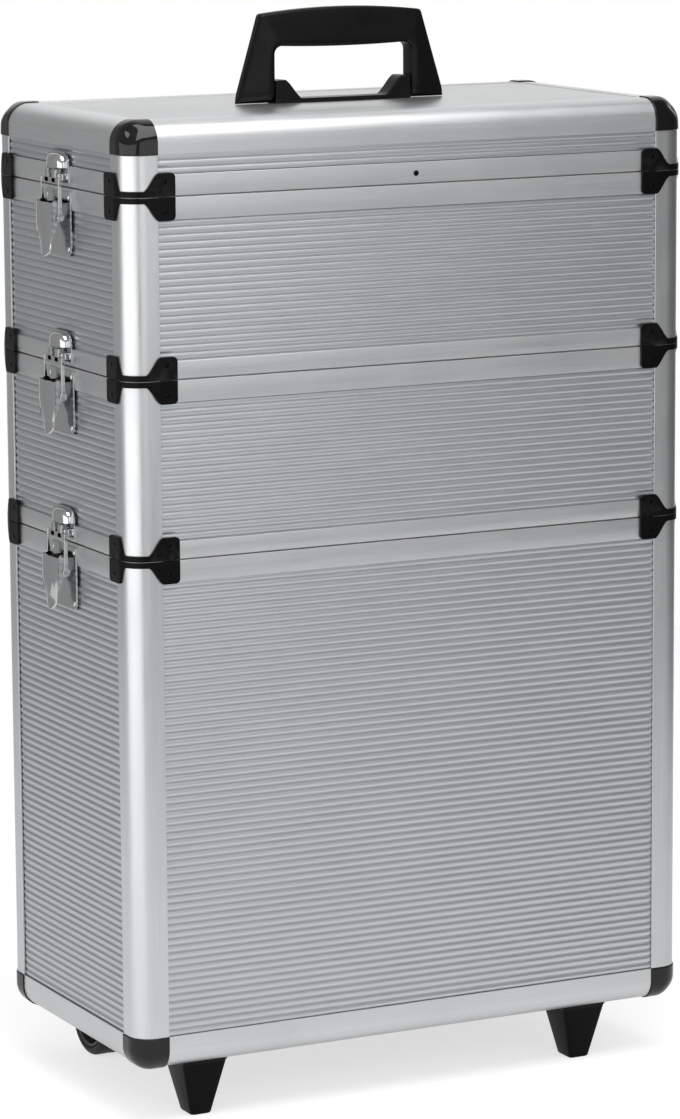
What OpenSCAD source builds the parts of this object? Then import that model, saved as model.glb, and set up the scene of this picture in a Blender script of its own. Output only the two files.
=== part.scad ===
// Rolling aluminium case: a lid, an upper case, a middle case and a lower case, stacked and latched.
// Millimetres, +Z up, front towards -Y. The origin is on the floor, below the middle of the whole outline.

/* [Case] */
// Outside width of the case, left to right
case_w = 460; // [400:1:520]
// Outside depth of the case, front to back
case_d = 238; // [220:1:300]
// Height of the lid
lid_h = 53.6; // [52:0.1:80]
// Height of the upper case
upper_h = 131.4; // [110:0.1:200]
// Height of the middle case
middle_h = 130.6; // [110:0.1:200]
// Height of the lower case without its feet
lower_h = 379.4; // [340:0.1:450]

/* [Aluminium profiles] */
// Visible width of each leg of the rounded edge profile
edge_leg = 25.4; // [25:0.1:32]
// Height of the lid's edge profile and of its corner caps
lid_leg_h = 23.8; // [22:0.1:25]
// Outside rounding of the edge profile
edge_r = 16; // [10:0.5:16]
// Wall thickness of the profiles
skin_t = 1.4; // [1:0.1:1.6]
// Width of the slots that hold the panels
slot_t = 4.2; // [4:0.1:5]
// Depth of the slots that hold the panels
slot_deep = 9; // [6:0.5:9]
// Thickness of the wall behind each panel slot
inner_t = 1.2; // [1:0.1:2]
// Depth of the closing rails, from the outside face inwards
rail_t = 12; // [11:0.5:16]
// Height of the rail on the upper edge of a case
rail_below_h = 16.6; // [15:0.1:20]
// Height of the rail on the lower edge of a case
rail_above_h = 13.2; // [12.5:0.1:18]
// Height of the lid's own rail
lid_rail_h = 15.7; // [12.5:0.1:17]
// Height of the tongue that closes each seam
tongue_h = 3; // [1.5:0.1:3]
// Thickness of the tongue
tongue_t = 2; // [1.5:0.1:2.2]
// Bevel of the rail edges that shows as a line along each seam
seam_bevel = 0.6; // [0.3:0.1:1]

/* [Panels] */
// Thickness of the ribbed panels
panel_t = 4; // [3:0.1:4]
// Depth of the grooves between the ribs
rib_deep = 0.5; // [0.4:0.1:1.2]
// Distance from one rib to the next
rib_pitch = 5.3; // [4.5:0.1:8]
// Width of the flat top of a rib
rib_flat = 2.8; // [1.5:0.1:3]
// Thickness of the floor panels of the upper and middle case
floor_t = 3; // [2:0.1:3]

/* [Corner pieces] */
// How far the corner caps stand proud of the profiles
cap_proud = 1; // [0.5:0.1:2]
// Height of one half of a corner bracket
bracket_h = 17; // [14:0.5:20]
// Reach of a corner bracket along the front or the back
bracket_reach = 38; // [36:0.5:46]
// Reach of a corner bracket along a narrow side
bracket_side_reach = 34; // [32:0.5:40]
// Thickness of a corner bracket
bracket_t = 2.4; // [1.5:0.1:4]
// Height of the bracket's neck round the corner
bracket_neck = 4.4; // [3:0.1:6]
// Thickness of the bracket's neck
neck_t = 1.2; // [1:0.1:1.5]

/* [Carry handle] */
// Half width of the handle at its foot
grip_foot = 87; // [85:1:100]
// Half width of the handle at its shoulder
grip_shoulder = 67; // [66:1:80]
// Height of the handle above the lid
grip_h = 70; // [60:1:90]
// Rise of the handle's arched top from shoulder to middle
grip_arch = 4; // [1:0.5:8]
// Half width of the finger opening
grip_gap = 57; // [48:1:58]
// Height of the finger bar
grip_bar = 28; // [20:1:30]
// Thickness of the handle round its finger opening
grip_t = 18; // [16:1:20]
// Thickness of the handle's outer edge
grip_edge_t = 10; // [8:1:12]
// Height of the base lugs that carry the handle
lug_h = 17; // [16:0.5:22]
// Radius of the handle's pivot pins
grip_pin_r = 3; // [2:0.5:4]

/* [Latches] */
// Width of a latch base
latch_w = 45; // [40:1:50]
// Height of a latch base below the seam
latch_drop = 50; // [48:1:60]
// Width of a keeper
keeper_w = 40; // [36:1:44]
// Height of a keeper above the seam
keeper_h = 25.5; // [22:0.5:26]
// Distance of the lever's pivot from the case
pivot_out = 7.5; // [7.5:0.1:9]
// Distance of the lever's pivot below the seam
pivot_drop = 13; // [12:0.5:15]
// Length of the lever's crank, from its pivot to the hook's pivot
crank = 9.2; // [8.5:0.1:10]
// Angle by which the crank lies past dead centre when closed
over_centre = 8; // [4:1:12]
// Half width of the lever over its flanges
lever_half = 14.7; // [13.5:0.1:15]
// Thickness of the latch sheet metal
latch_t = 1.2; // [1:0.1:1.3]
// Radius of the latch pins
latch_pin_r = 1.5; // [1:0.1:1.8]

/* [Feet and wheels] */
// Height of the feet, which lift the case off the floor
foot_h = 45; // [44:1:50]
// Width of a foot at its top
foot_top_w = 38; // [34:0.5:46]
// Depth of a foot at its top
foot_top_d = 38; // [28:0.5:40]
// Width of a foot at its base
foot_base_w = 17.5; // [14:0.5:30]
// Depth of a foot at its base
foot_base_d = 21; // [14:0.5:28]
// Distance of the left foot's middle from the left side
foot_left_in = 62; // [60:0.5:80]
// Distance of the right foot's middle from the right side
foot_right_in = 75; // [60:0.5:90]
// Diameter of the wheels
wheel_d = 62; // [56:1:63]
// Width of the wheels
wheel_w = 26; // [20:1:30]
// Distance of each wheel's middle from the nearer side
wheel_side_in = 65; // [60:1:80]
// How far the wheels stand out behind the case
wheel_out = 5.5; // [2:0.5:6.5]
// Radius of the axles
axle_r = 3; // [2.5:0.1:4]

/* [Pull handle] */
// Distance of each tube from the middle of the case
tube_x = 75; // [60:1:85]
// Outside radius of the fixed outer tubes
tube_r = 11; // [10:0.5:12]
// Wall thickness of the tubes
tube_wall = 1.2; // [1:0.1:1.4]
// Gap all round between one tube and the next
tube_play = 0.4; // [0.3:0.1:0.5]
// Height of the pull handle's grip
pull_grip_h = 50; // [45:1:60]
// Height of the pull handle's crossbar
pull_bar_h = 20; // [16:1:24]
// Travel of the release button
button_travel = 3; // [2:0.5:4]

/* [Hidden] */
$fn = 48;
eps = 1;
play = 0.3;
running = 0.05;

// Levels
z_bottom = foot_h;
z_seam3 = z_bottom + lower_h;
z_seam2 = z_seam3 + middle_h;
z_seam1 = z_seam2 + upper_h;
z_top = z_seam1 + lid_h;

// Profile and panel places, as depths inwards from the outside face
profile_t = skin_t + slot_t + inner_t;
panel_in = skin_t + (slot_t - panel_t) / 2;
panel_edge = edge_leg - slot_deep + play;
lid_panel_edge = lid_leg_h - slot_deep + play;
butt_gap = 0.1;
wide_run = case_w - 2 * edge_leg - 2 * butt_gap;
narrow_run = case_d - 2 * edge_leg - 2 * butt_gap;
wide_panel_run = case_w - 2 * panel_edge;
narrow_panel_run = case_d - 2 * panel_edge;
rail_web = rail_below_h - slot_deep;
slot_bite = 8;
rail_slot_up = rail_above_h - slot_bite;
tongue_in = 6;
groove_play = 0.4;
floor_up = 4;
floor_bite = 4;
floor_play = 0.1;
floor_ledge = floor_up + floor_t + 2 * floor_play + skin_t;

// Bracket outline on each face, as reach, width of the plate and width of the slope beside it
front_bracket = [bracket_reach, 13, 11];
side_bracket = [bracket_side_reach, 16.5, 6];
bracket_round = 3;

// Carry handle
pivot_up = grip_t / 2 + 0.5;
grip_side_play = 0.5;
lug_out = grip_gap - grip_side_play;
lug_w = 8.5;
lug_slope = 13;
lug_round = 2;
base_h = 3;
base_d = 15;
grip_pin_in = 8;
grip_pin_out = 15;
grip_corner = 6;
grip_shoulder_r = 3;
grip_edge_r = 1.5;
grip_face = 0.7;

// Latch, drawn with x outwards from the case, y along the wall and z up from the seam
ear_half = lever_half - 2 * latch_t - play;
ear_r = 3.8;
ear_neck = 1.2;
ear_gusset = 9.5;
base_corner = 6;
base_pad = [8, 12];
base_pad_in = 6;
pivot_z = -pivot_drop;
hook_x = pivot_out - crank * sin(over_centre);
hook_z = pivot_z - crank * cos(over_centre);
lever_x = pivot_out + 4.2;
lever_top = pivot_z + 2;
lever_tail = -latch_drop - 1;
lever_tail_r = 10;
lever_taper = 12;
lever_crown = 1.2;
lever_fall = 1.6;
lever_lip = 2.4;
lip_share = 0.25;
lever_eye_r = 3.2;
hook_eye_r = 2.8;
flange_z = lever_tail + 15;
flange_in = 0.6;
bail_in = lever_half + play;
bail_t = 2;
bail_half = bail_in + bail_t;
hook_plate_in = 5.6;
hook_plate_t = 1.5;
hook_web_z = 2;
hook_web_h = 5;
nose_z = 9.5;
nose_half = 11;
nose_h = 5;
nose_out = hook_plate_in - 0.4;
claw_play = 0.4;
claw_tip = 3.4;
claw_t = 3;
claw_w = 6.5;
claw_y = 3;
keeper_corner = 10;
keeper_pad_w = 16;
dome_z = nose_z + claw_play + claw_t + 1.2;
dome_out = 6.2;
dome_half = 14;
dome_r = 8;
dome_top = keeper_h - 0.5;

// Running gear
wheel_r = wheel_d / 2;
wheel_x = case_w / 2 - wheel_side_in;
wheel_y = case_d / 2 - wheel_r + wheel_out;
well_back = wheel_r - wheel_out;
well_play = 1.5;
well_wall = 2.5;
well_lid_t = 1.5;
rim_t = 1.5;
cheek_t = 2.2;
cheek_r = 13;
wheel_side_play = 1;
well_half = wheel_w / 2 + wheel_side_play + cheek_t;
well_r = wheel_r + well_play;
well_box_top = z_bottom + edge_leg - slot_deep - 0.6;
flange_t = 2;
flange_w = 5;
foot_front = edge_r;
tread_shoulder = 5;
wheel_rim = 7;
wheel_dish = 4;
wheel_hub = 7;

// Pull handle
tube_y = case_d / 2 + tube_r + 2;
tube_mid_r = tube_r - tube_wall - tube_play;
tube_in_r = tube_mid_r - tube_wall - tube_play;
tube_seat = 15;
bracket_deep = 2 * tube_r + 3;
low_bracket_z = z_bottom + 11;
low_bracket_h = 30;
top_bracket_z = z_seam3 - 26;
top_bracket_h = 24;
tube_z0 = low_bracket_z + 12;
tube_z1 = top_bracket_z + tube_seat;
mid_z0 = tube_z0 + 4;
mid_z1 = top_bracket_z + top_bracket_h + 1;
in_z0 = mid_z0 + 4;
pull_z0 = mid_z1 + 1;
pull_z1 = pull_z0 + pull_grip_h;
pull_half = tube_x + tube_r + 4;
pull_leg_w = 30;
button_w = 32;
button_d = 12;
button_h = 8;
button_proud = 3;

// The whole outline is centred front to back over the origin
front_reach = case_d / 2 + bracket_t;
back_reach = case_d / 2 + bracket_deep;
case_y = (front_reach - back_reach) / 2;

aluminium = [0.77, 0.78, 0.79];
panel_colour = [0.70, 0.72, 0.73];
chrome = [0.86, 0.87, 0.88];
black = [0.06, 0.06, 0.06];

// Moves the case from its own middle to its place over the origin
module placed() {
    translate([0, case_y, 0]) children();
}

// Repeats what is drawn for the front left corner at all four corners
module at_corners() {
    for (sx = [0, 1], sy = [0, 1])
        mirror([sx, 0, 0]) mirror([0, sy, 0]) translate([-case_w / 2, -case_d / 2, 0]) children();
}

// Runs a wall section along the front and the back. In a section x is the depth inwards and y the height
module wide_walls(run) {
    for (sy = [0, 1])
        mirror([0, sy, 0]) translate([-run / 2, -case_d / 2, 0])
            rotate([90, 0, 90]) linear_extrude(run) children();
}

// Runs a wall section along both narrow sides
module narrow_walls(run) {
    for (sx = [0, 1])
        mirror([sx, 0, 0]) translate([-case_w / 2, run / 2, 0])
            rotate([90, 0, 0]) linear_extrude(run) children();
}

// Points on an arc
function arc(x, y, r, from, to, steps = 6) =
    [for (i = [0 : steps]) let (a = from + (to - from) * i / steps) [x + r * cos(a), y + r * sin(a)]];

// A square whose corner near the origin is rounded
module round_corner_2d(start, end, r) {
    intersection() {
        translate([start, start]) square(end - start);
        union() {
            translate([start + r, start + r]) circle(r);
            translate([start + r, start]) square(end - start);
            translate([start, start + r]) square(end - start);
        }
    }
}

// Section of the rounded edge profile: two legs at a right angle, each with a slot for a panel
module edge_profile_2d(leg_h) {
    difference() {
        intersection() {
            round_corner_2d(0, edge_leg + leg_h, edge_r);
            square([edge_leg, leg_h]);
        }
        translate([profile_t, profile_t]) square(edge_leg + leg_h);
        translate([edge_leg - slot_deep, skin_t]) square([slot_deep + eps, slot_t]);
        translate([skin_t, leg_h - slot_deep]) square([slot_t, slot_deep + eps]);
    }
}

// Section of the rail on the upper edge of a case, hung below the seam, with its tongue above
module rail_below_2d() {
    difference() {
        union() {
            translate([0, -rail_web]) square([rail_t, rail_web]);
            translate([0, -rail_below_h]) square([skin_t, rail_below_h]);
            translate([skin_t + slot_t, -rail_below_h]) square([inner_t, rail_below_h]);
            translate([tongue_in - tongue_t / 2, -eps]) square([tongue_t, eps + tongue_h]);
        }
        rotate(45) square(sqrt(2) * seam_bevel, center = true);
        translate([skin_t, skin_t - rail_web]) square([rail_t - 2 * skin_t, rail_web - 2 * skin_t]);
    }
}

// Section of the rail on the lower edge of a case or the lid, standing on the seam, with its groove
module rail_above_2d(h, with_floor) {
    difference() {
        union() {
            square([rail_t, floor_ledge]);
            square([skin_t, h]);
            translate([skin_t + slot_t, 0]) square([inner_t, h]);
        }
        translate([skin_t, h - slot_bite]) square([slot_t, slot_bite + eps]);
        translate([tongue_in - tongue_t / 2 - groove_play, -eps])
            square([tongue_t + 2 * groove_play, eps + tongue_h + groove_play]);
        if (with_floor)
            translate([rail_t - floor_bite, floor_up])
                square([floor_bite + eps, floor_t + 2 * floor_play]);
        rotate(45) square(sqrt(2) * seam_bevel, center = true);
    }
}

// Section of a ribbed panel: flat-topped ribs with sloping sides and narrow grooves between them
module ribbed_2d(z0, z1) {
    count = floor((z1 - z0 - 2) / rib_pitch);
    first = (z0 + z1 - count * rib_pitch) / 2;
    groove = panel_in + rib_deep;
    slope = (rib_pitch - rib_flat) / 3;
    ribs = [for (i = [0 : count - 1]) let (z = first + i * rib_pitch) each [
        [groove, z + slope / 2], [panel_in, z + 1.5 * slope],
        [panel_in, z + 1.5 * slope + rib_flat], [groove, z + 2.5 * slope + rib_flat]]];
    polygon(concat([[panel_in + panel_t, z0], [groove, z0]], ribs, [[groove, z1], [panel_in + panel_t, z1]]));
}

module wide_panels(z0, z1) {
    placed() wide_walls(wide_panel_run) ribbed_2d(z0, z1);
}

module narrow_panels(z0, z1) {
    placed() narrow_walls(narrow_panel_run) ribbed_2d(z0, z1);
}

module corner_posts(z0, z1) {
    placed() at_corners() translate([0, 0, z0]) linear_extrude(z1 - z0) edge_profile_2d(edge_leg);
}

module rails_below(seam) {
    placed() translate([0, 0, seam]) {
        wide_walls(wide_run) rail_below_2d();
        narrow_walls(narrow_run) rail_below_2d();
    }
}

module rails_above(seam, h, with_floor) {
    placed() translate([0, 0, seam]) {
        wide_walls(wide_run) rail_above_2d(h, with_floor);
        narrow_walls(narrow_run) rail_above_2d(h, with_floor);
    }
}

module floor_panel(seam) {
    inset = 2 * (rail_t - floor_bite + play);
    placed() translate([0, 0, seam + floor_up + floor_play])
        linear_extrude(floor_t) square([case_w - inset, case_d - inset], center = true);
}

// A block with one rounded corner, edges and all
module round_corner_block(start, end, top, r) {
    c = start + r;
    long = end - c;
    high = top - c;
    intersection() {
        translate([start, start, start]) cube([end - start, end - start, top - start]);
        union() {
            translate([c, c, c]) sphere(r);
            translate([c, c, c]) cylinder(h = high, r = r);
            translate([c, c, c]) rotate([0, 90, 0]) cylinder(h = long, r = r);
            translate([c, c, c]) rotate([-90, 0, 0]) cylinder(h = long, r = r);
            translate([c, c, start]) cube([long, long, top - start]);
            translate([c, start, c]) cube([long, end - start, high]);
            translate([start, c, c]) cube([end - start, long, high]);
        }
    }
}

// Moulded cap over an outer corner, drawn for the lower front left corner
module corner_cap(h) {
    difference() {
        round_corner_block(-cap_proud, edge_leg, h, edge_r + cap_proud);
        round_corner_block(skin_t, edge_leg + eps, h + eps, edge_r - skin_t);
    }
}

// Outline of half a bracket on one face: a plate at the end and a low neck towards the corner
module bracket_face_2d(reach, plate, slope) {
    plate_in = reach - plate;
    neck_in = plate_in - slope;
    neck_round = bracket_round + 1;
    lean = atan((bracket_h - bracket_neck) / slope);
    polygon(concat(
        [[-bracket_t - eps, 0], [reach, 0]],
        arc(reach - bracket_round, bracket_h - bracket_round, bracket_round, 0, 90),
        arc(plate_in + bracket_round, bracket_h - bracket_round, bracket_round, 90, 90 + lean),
        arc(neck_in - 1, bracket_neck + neck_round, neck_round, lean - 90, -90),
        [[-bracket_t - eps, bracket_neck]]));
}

// Thicker part of a bracket on one face, seen from above: a plate and the ramp down to the neck
module bracket_plate_2d(reach, plate, slope) {
    polygon([[reach - plate - slope, eps], [reach - plate - slope, -neck_t],
        [reach - plate, -bracket_t], [reach, -bracket_t], [reach, eps]]);
}

// Half of a corner bracket above the seam, wrapped round the post
module bracket_half() {
    intersection() {
        linear_extrude(bracket_h) difference() {
            union() {
                round_corner_2d(-neck_t, bracket_reach, edge_r + neck_t);
                bracket_plate_2d(front_bracket[0], front_bracket[1], front_bracket[2]);
                mirror([1, -1, 0]) bracket_plate_2d(side_bracket[0], side_bracket[1], side_bracket[2]);
            }
            round_corner_2d(0, bracket_reach + eps, edge_r);
        }
        union() {
            translate([0, edge_r, 0]) rotate([90, 0, 0]) linear_extrude(edge_r + bracket_t + eps)
                bracket_face_2d(front_bracket[0], front_bracket[1], front_bracket[2]);
            mirror([1, -1, 0]) translate([0, edge_r, 0]) rotate([90, 0, 0])
                linear_extrude(edge_r + bracket_t + eps)
                    bracket_face_2d(side_bracket[0], side_bracket[1], side_bracket[2]);
        }
    }
}

module brackets_above(seam) {
    placed() at_corners() translate([0, 0, seam]) bracket_half();
}

module brackets_below(seam) {
    placed() at_corners() translate([0, 0, seam]) mirror([0, 0, 1]) bracket_half();
}

// Places a latch piece on the left or the right side of a seam
module on_side(side, seam) {
    placed() mirror([side == "left" ? 1 : 0, 0, 0]) translate([case_w / 2, 0, seam]) children();
}

module on_both_sides(seam) {
    on_side("left", seam) children();
    on_side("right", seam) children();
}

// Plate on the wall with a rounded end, drawn along y and z and thickened outwards
module wall_plate(half, z_square, z_round, r) {
    rotate([90, 0, 90]) linear_extrude(latch_t) {
        translate([-half, min(z_square, z_round)])
            square([2 * half, abs(z_square - z_round)]);
        for (s = [-1, 1])
            translate([s * (half - r), z_round]) circle(r);
        translate([-(half - r), z_round - r]) square([2 * (half - r), 2 * r]);
    }
}

// Latch base: plate with two ears and the pivot pin, set off the ribs by two pads
module latch_base() {
    difference() {
        union() {
            wall_plate(latch_w / 2, -3, -latch_drop + base_corner, base_corner);
            for (s = [-1, 1]) {
                translate([0, s * (ear_half + latch_t / 2), 0]) rotate([90, 0, 0])
                    linear_extrude(latch_t, center = true) {
                        translate([pivot_out, pivot_z]) circle(ear_r);
                        polygon([[latch_t / 2, pivot_z + ear_neck], [pivot_out, pivot_z + ear_neck],
                            [pivot_out, pivot_z - ear_r], [latch_t / 2, pivot_z - ear_gusset]]);
                    }
                translate([-panel_in, s * (latch_w / 2 - base_pad_in) - base_pad[0] / 2, base_pad_in - latch_drop])
                    cube([panel_in + latch_t / 2, base_pad[0], base_pad[1]]);
            }
        }
        translate([pivot_out, 0, pivot_z]) rotate([90, 0, 0])
            cylinder(h = 2 * lever_half, r = latch_pin_r, center = true);
    }
    for (s = [-1, 1])
        translate([pivot_out, s * (ear_half + lever_half) / 2, pivot_z]) rotate([90, 0, 0])
            cylinder(h = lever_half - ear_half, r = latch_pin_r, center = true);
}

// Side view of the lever's cover: gently crowned, with a lip at its tail
function lever_line(z) =
    let (t = (z - lever_top) / (lever_tail - lever_top))
    lever_x + lever_crown * sin(180 * t) - lever_fall * t
        + lever_lip * pow(max(0, t - 1 + lip_share) / lip_share, 2);
lever_steps = 18;
lever_zs = [for (i = [0 : lever_steps]) lever_top + (lever_tail - lever_top) * i / lever_steps];

// Latch lever: crowned cover with a tapered tail, and two flanges that take both pivots
module latch_lever() {
    flange_y = lever_half - latch_t / 2;
    difference() {
        union() {
            intersection() {
                rotate([90, 0, 0]) linear_extrude(2 * lever_half, center = true)
                    polygon(concat(
                        [for (z = lever_zs) [lever_line(z), z]],
                        [for (i = [lever_steps : -1 : 0]) [lever_line(lever_zs[i]) + latch_t, lever_zs[i]]]));
                rotate([90, 0, 90]) linear_extrude(3 * lever_x) {
                    tail_z = lever_tail + lever_tail_r;
                    polygon([[-lever_half, lever_top], [lever_half, lever_top],
                        [lever_half, tail_z + lever_taper], [lever_tail_r, tail_z],
                        [-lever_tail_r, tail_z], [-lever_half, tail_z + lever_taper]]);
                    translate([0, tail_z]) circle(lever_tail_r);
                }
            }
            for (s = [-1, 1])
                translate([0, s * flange_y, 0]) rotate([90, 0, 0])
                    linear_extrude(latch_t, center = true) {
                        translate([pivot_out, pivot_z]) circle(lever_eye_r);
                        translate([hook_x, hook_z]) circle(hook_eye_r);
                        polygon([[pivot_out, lever_top], [lever_x + flange_in, lever_top],
                            [lever_line(-latch_drop / 2) + flange_in, -latch_drop / 2],
                            [lever_line(flange_z) + flange_in, flange_z],
                            [hook_x - hook_eye_r / 3, hook_z - hook_eye_r],
                            [pivot_out - lever_eye_r, pivot_z]]);
                    }
        }
        translate([pivot_out, 0, pivot_z]) rotate([90, 0, 0])
            cylinder(h = 4 * lever_half, r = latch_pin_r + running, center = true);
    }
    for (s = [-1, 1])
        translate([hook_x, s * (lever_half + bail_t / 2), hook_z]) rotate([90, 0, 0])
            cylinder(h = bail_t, r = latch_pin_r, center = true);
}

// Latch hook: two legs on the lever's pins, a cross plate, and two claws that reach over the keeper's nose
module latch_hook() {
    leg_top = hook_web_z + hook_web_h;
    claw_under = nose_z + claw_play;
    difference() {
        for (s = [-1, 1])
            translate([0, s * (bail_in + bail_t / 2), 0]) rotate([90, 0, 0])
                linear_extrude(bail_t, center = true) {
                    translate([hook_x, hook_z]) circle(hook_eye_r);
                    polygon([[hook_x - hook_eye_r / 2, hook_z], [hook_x + hook_eye_r / 2, hook_z],
                        [hook_plate_in + hook_plate_t + flange_in, leg_top], [hook_plate_in, leg_top]]);
                }
        translate([hook_x, 0, hook_z]) rotate([90, 0, 0])
            cylinder(h = 4 * bail_half, r = latch_pin_r + running, center = true);
    }
    translate([hook_plate_in, -bail_half, hook_web_z]) cube([hook_plate_t, 2 * bail_half, hook_web_h]);
    for (s = [-1, 1])
        translate([0, s * (claw_y + claw_w / 2), 0]) rotate([90, 0, 0])
            linear_extrude(claw_w, center = true) {
                translate([hook_plate_in, hook_web_z + 1])
                    square([hook_plate_t, claw_under + claw_t - hook_web_z - 1 - hook_plate_t]);
                translate([claw_tip, claw_under])
                    square([hook_plate_in - claw_tip + hook_plate_t / 2, claw_t / 2]);
                translate([hook_plate_in, claw_under + claw_t - hook_plate_t]) circle(hook_plate_t);
                translate([claw_tip + 0.8, claw_under])
                    square([hook_plate_in - claw_tip - 0.8, claw_t]);
            }
}

// Keeper: plate on the wall above the seam with a nose for the hook and a rounded hood above it
module latch_keeper() {
    wall_plate(keeper_w / 2, 3, keeper_h - keeper_corner, keeper_corner);
    translate([latch_t / 2, -nose_half, nose_z - nose_h])
        cube([nose_out - latch_t / 2, 2 * nose_half, nose_h]);
    translate([-panel_in, -keeper_pad_w / 2, lid_rail_h + 1])
        cube([panel_in + latch_t / 2, keeper_pad_w, keeper_h - lid_rail_h - 3]);
    intersection() {
        rotate([90, 0, 90]) linear_extrude(dome_out) {
            translate([-dome_half, dome_z]) square([2 * dome_half, dome_top - dome_r - dome_z]);
            for (s = [-1, 1])
                translate([s * (dome_half - dome_r), dome_top - dome_r]) circle(dome_r);
            translate([dome_r - dome_half, dome_z])
                square([2 * (dome_half - dome_r), dome_top - dome_z]);
        }
        translate([0, dome_half + eps, 0]) rotate([90, 0, 0]) linear_extrude(2 * (dome_half + eps))
            polygon(concat([[0, dome_z], [dome_out, dome_z]],
                [for (a = [10 : 10 : 90]) [dome_out * cos(a), dome_z + (keeper_h - dome_z) * sin(a)]]));
    }
}

module lid_top_panel() {
    inset = 2 * panel_edge;
    color(panel_colour) placed() translate([0, 0, z_top - panel_in - panel_t])
        linear_extrude(panel_t) square([case_w - inset, case_d - inset], center = true);
}

module lid_wide_panels() {
    color(panel_colour) wide_panels(z_seam1 + lid_rail_h - slot_bite + play, z_top - lid_panel_edge);
}

module lid_narrow_panels() {
    color(panel_colour) narrow_panels(z_seam1 + lid_rail_h - slot_bite + play, z_top - lid_panel_edge);
}

module lid_edge_profiles() {
    color(aluminium) placed() translate([0, 0, z_top]) mirror([0, 0, 1]) {
        wide_walls(wide_run) edge_profile_2d(lid_leg_h);
        narrow_walls(narrow_run) edge_profile_2d(lid_leg_h);
    }
}

module lid_corner_posts() {
    color(aluminium) corner_posts(z_seam1, z_top - lid_leg_h);
}

module lid_rails() {
    color(aluminium) rails_above(z_seam1, lid_rail_h, false);
}

module lid_corner_caps() {
    color(black) placed() translate([0, 0, z_top]) mirror([0, 0, 1]) at_corners() corner_cap(lid_leg_h);
}

module lid_brackets() {
    color(black) brackets_above(z_seam1);
}

module lid_keepers() {
    color(chrome) on_both_sides(z_seam1) latch_keeper();
}

// Carry handle base: a low plate that rises to a lug at each end
module handle_base() {
    color(black) placed() translate([0, 0, z_top]) difference() {
        translate([0, base_d / 2, 0]) rotate([90, 0, 0]) linear_extrude(base_d)
            polygon(concat(
                [[-lug_out, -panel_in], [lug_out, -panel_in]],
                arc(lug_out - lug_round, lug_h - lug_round, lug_round, 0, 90),
                [[lug_out - lug_w, lug_h], [lug_out - lug_w - lug_slope, base_h],
                    [-lug_out + lug_w + lug_slope, base_h], [-lug_out + lug_w, lug_h]],
                arc(-lug_out + lug_round, lug_h - lug_round, lug_round, 90, 180)));
        for (s = [-1, 1])
            translate([s * (lug_out - grip_pin_in / 2), 0, pivot_up]) rotate([0, 90, 0])
                cylinder(h = grip_pin_in + 0.01, r = grip_pin_r, center = true);
    }
}

module handle_pins() {
    color(chrome) placed() for (s = [-1, 1])
        translate([s * (lug_out - grip_pin_in + (grip_pin_in + grip_pin_out) / 2), 0, z_top + pivot_up])
            rotate([0, 90, 0]) cylinder(h = grip_pin_in + grip_pin_out, r = grip_pin_r, center = true);
}

// Outline of the carry handle: an arched trapezium with rounded shoulders
module grip_2d() {
    arch_r = (grip_shoulder * grip_shoulder + grip_arch * grip_arch) / (2 * grip_arch);
    arch_a = asin(grip_shoulder / arch_r);
    offset(r = grip_shoulder_r) offset(delta = -grip_shoulder_r)
        polygon(concat([[grip_foot, 0]],
            arc(0, grip_h - arch_r, arch_r, 90 - arch_a, 90 + arch_a, 12), [[-grip_foot, 0]]));
}

// A slice of the carry handle, so thick front to back about its middle plane
module grip_slice(t) {
    translate([0, t / 2, 0]) rotate([90, 0, 0]) linear_extrude(t) children();
}

// Folding carry handle: full at its finger opening, thinner towards its outer edge, rounded at its feet
module handle_grip() {
    color(black) placed() translate([0, 0, z_top]) difference() {
        intersection() {
            hull() {
                grip_slice(grip_edge_t - 2 * grip_edge_r) grip_2d();
                grip_slice(grip_edge_t) offset(delta = -grip_edge_r) grip_2d();
                grip_slice(grip_t) scale(grip_face) grip_2d();
            }
            translate([-grip_foot - eps, 0, 0]) rotate([90, 0, 90]) linear_extrude(2 * (grip_foot + eps)) {
                translate([0, pivot_up]) circle(grip_t / 2);
                translate([-grip_t / 2, pivot_up]) square([grip_t, grip_h]);
            }
        }
        grip_slice(grip_t + 2 * eps) {
            translate([-grip_gap, -eps]) square([2 * grip_gap, grip_h - grip_bar - grip_corner + eps]);
            translate([-grip_gap + grip_corner, -eps])
                square([2 * (grip_gap - grip_corner), grip_h - grip_bar + eps]);
            for (s = [-1, 1])
                translate([s * (grip_gap - grip_corner), grip_h - grip_bar - grip_corner])
                    circle(grip_corner);
        }
        for (s = [-1, 1])
            translate([s * (grip_gap + grip_pin_out / 2), 0, pivot_up]) rotate([0, 90, 0])
                cylinder(h = grip_pin_out + 2, r = grip_pin_r + running, center = true);
    }
}

module upper_wide_panels() {
    color(panel_colour) wide_panels(z_seam2 + rail_slot_up + play, z_seam1 - rail_web - play);
}

module upper_narrow_panels() {
    color(panel_colour) narrow_panels(z_seam2 + rail_slot_up + play, z_seam1 - rail_web - play);
}

module upper_floor() {
    color(black) floor_panel(z_seam2);
}

module upper_corner_posts() {
    color(aluminium) corner_posts(z_seam2, z_seam1);
}

module upper_rails() {
    color(aluminium) {
        rails_above(z_seam2, rail_above_h, true);
        rails_below(z_seam1);
    }
}

module upper_brackets() {
    color(black) {
        brackets_above(z_seam2);
        brackets_below(z_seam1);
    }
}

module upper_latch_bases() {
    color(chrome) on_both_sides(z_seam1) latch_base();
}

module upper_keepers() {
    color(chrome) on_both_sides(z_seam2) latch_keeper();
}

module middle_wide_panels() {
    color(panel_colour) wide_panels(z_seam3 + rail_slot_up + play, z_seam2 - rail_web - play);
}

module middle_narrow_panels() {
    color(panel_colour) narrow_panels(z_seam3 + rail_slot_up + play, z_seam2 - rail_web - play);
}

module middle_floor() {
    color(black) floor_panel(z_seam3);
}

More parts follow.
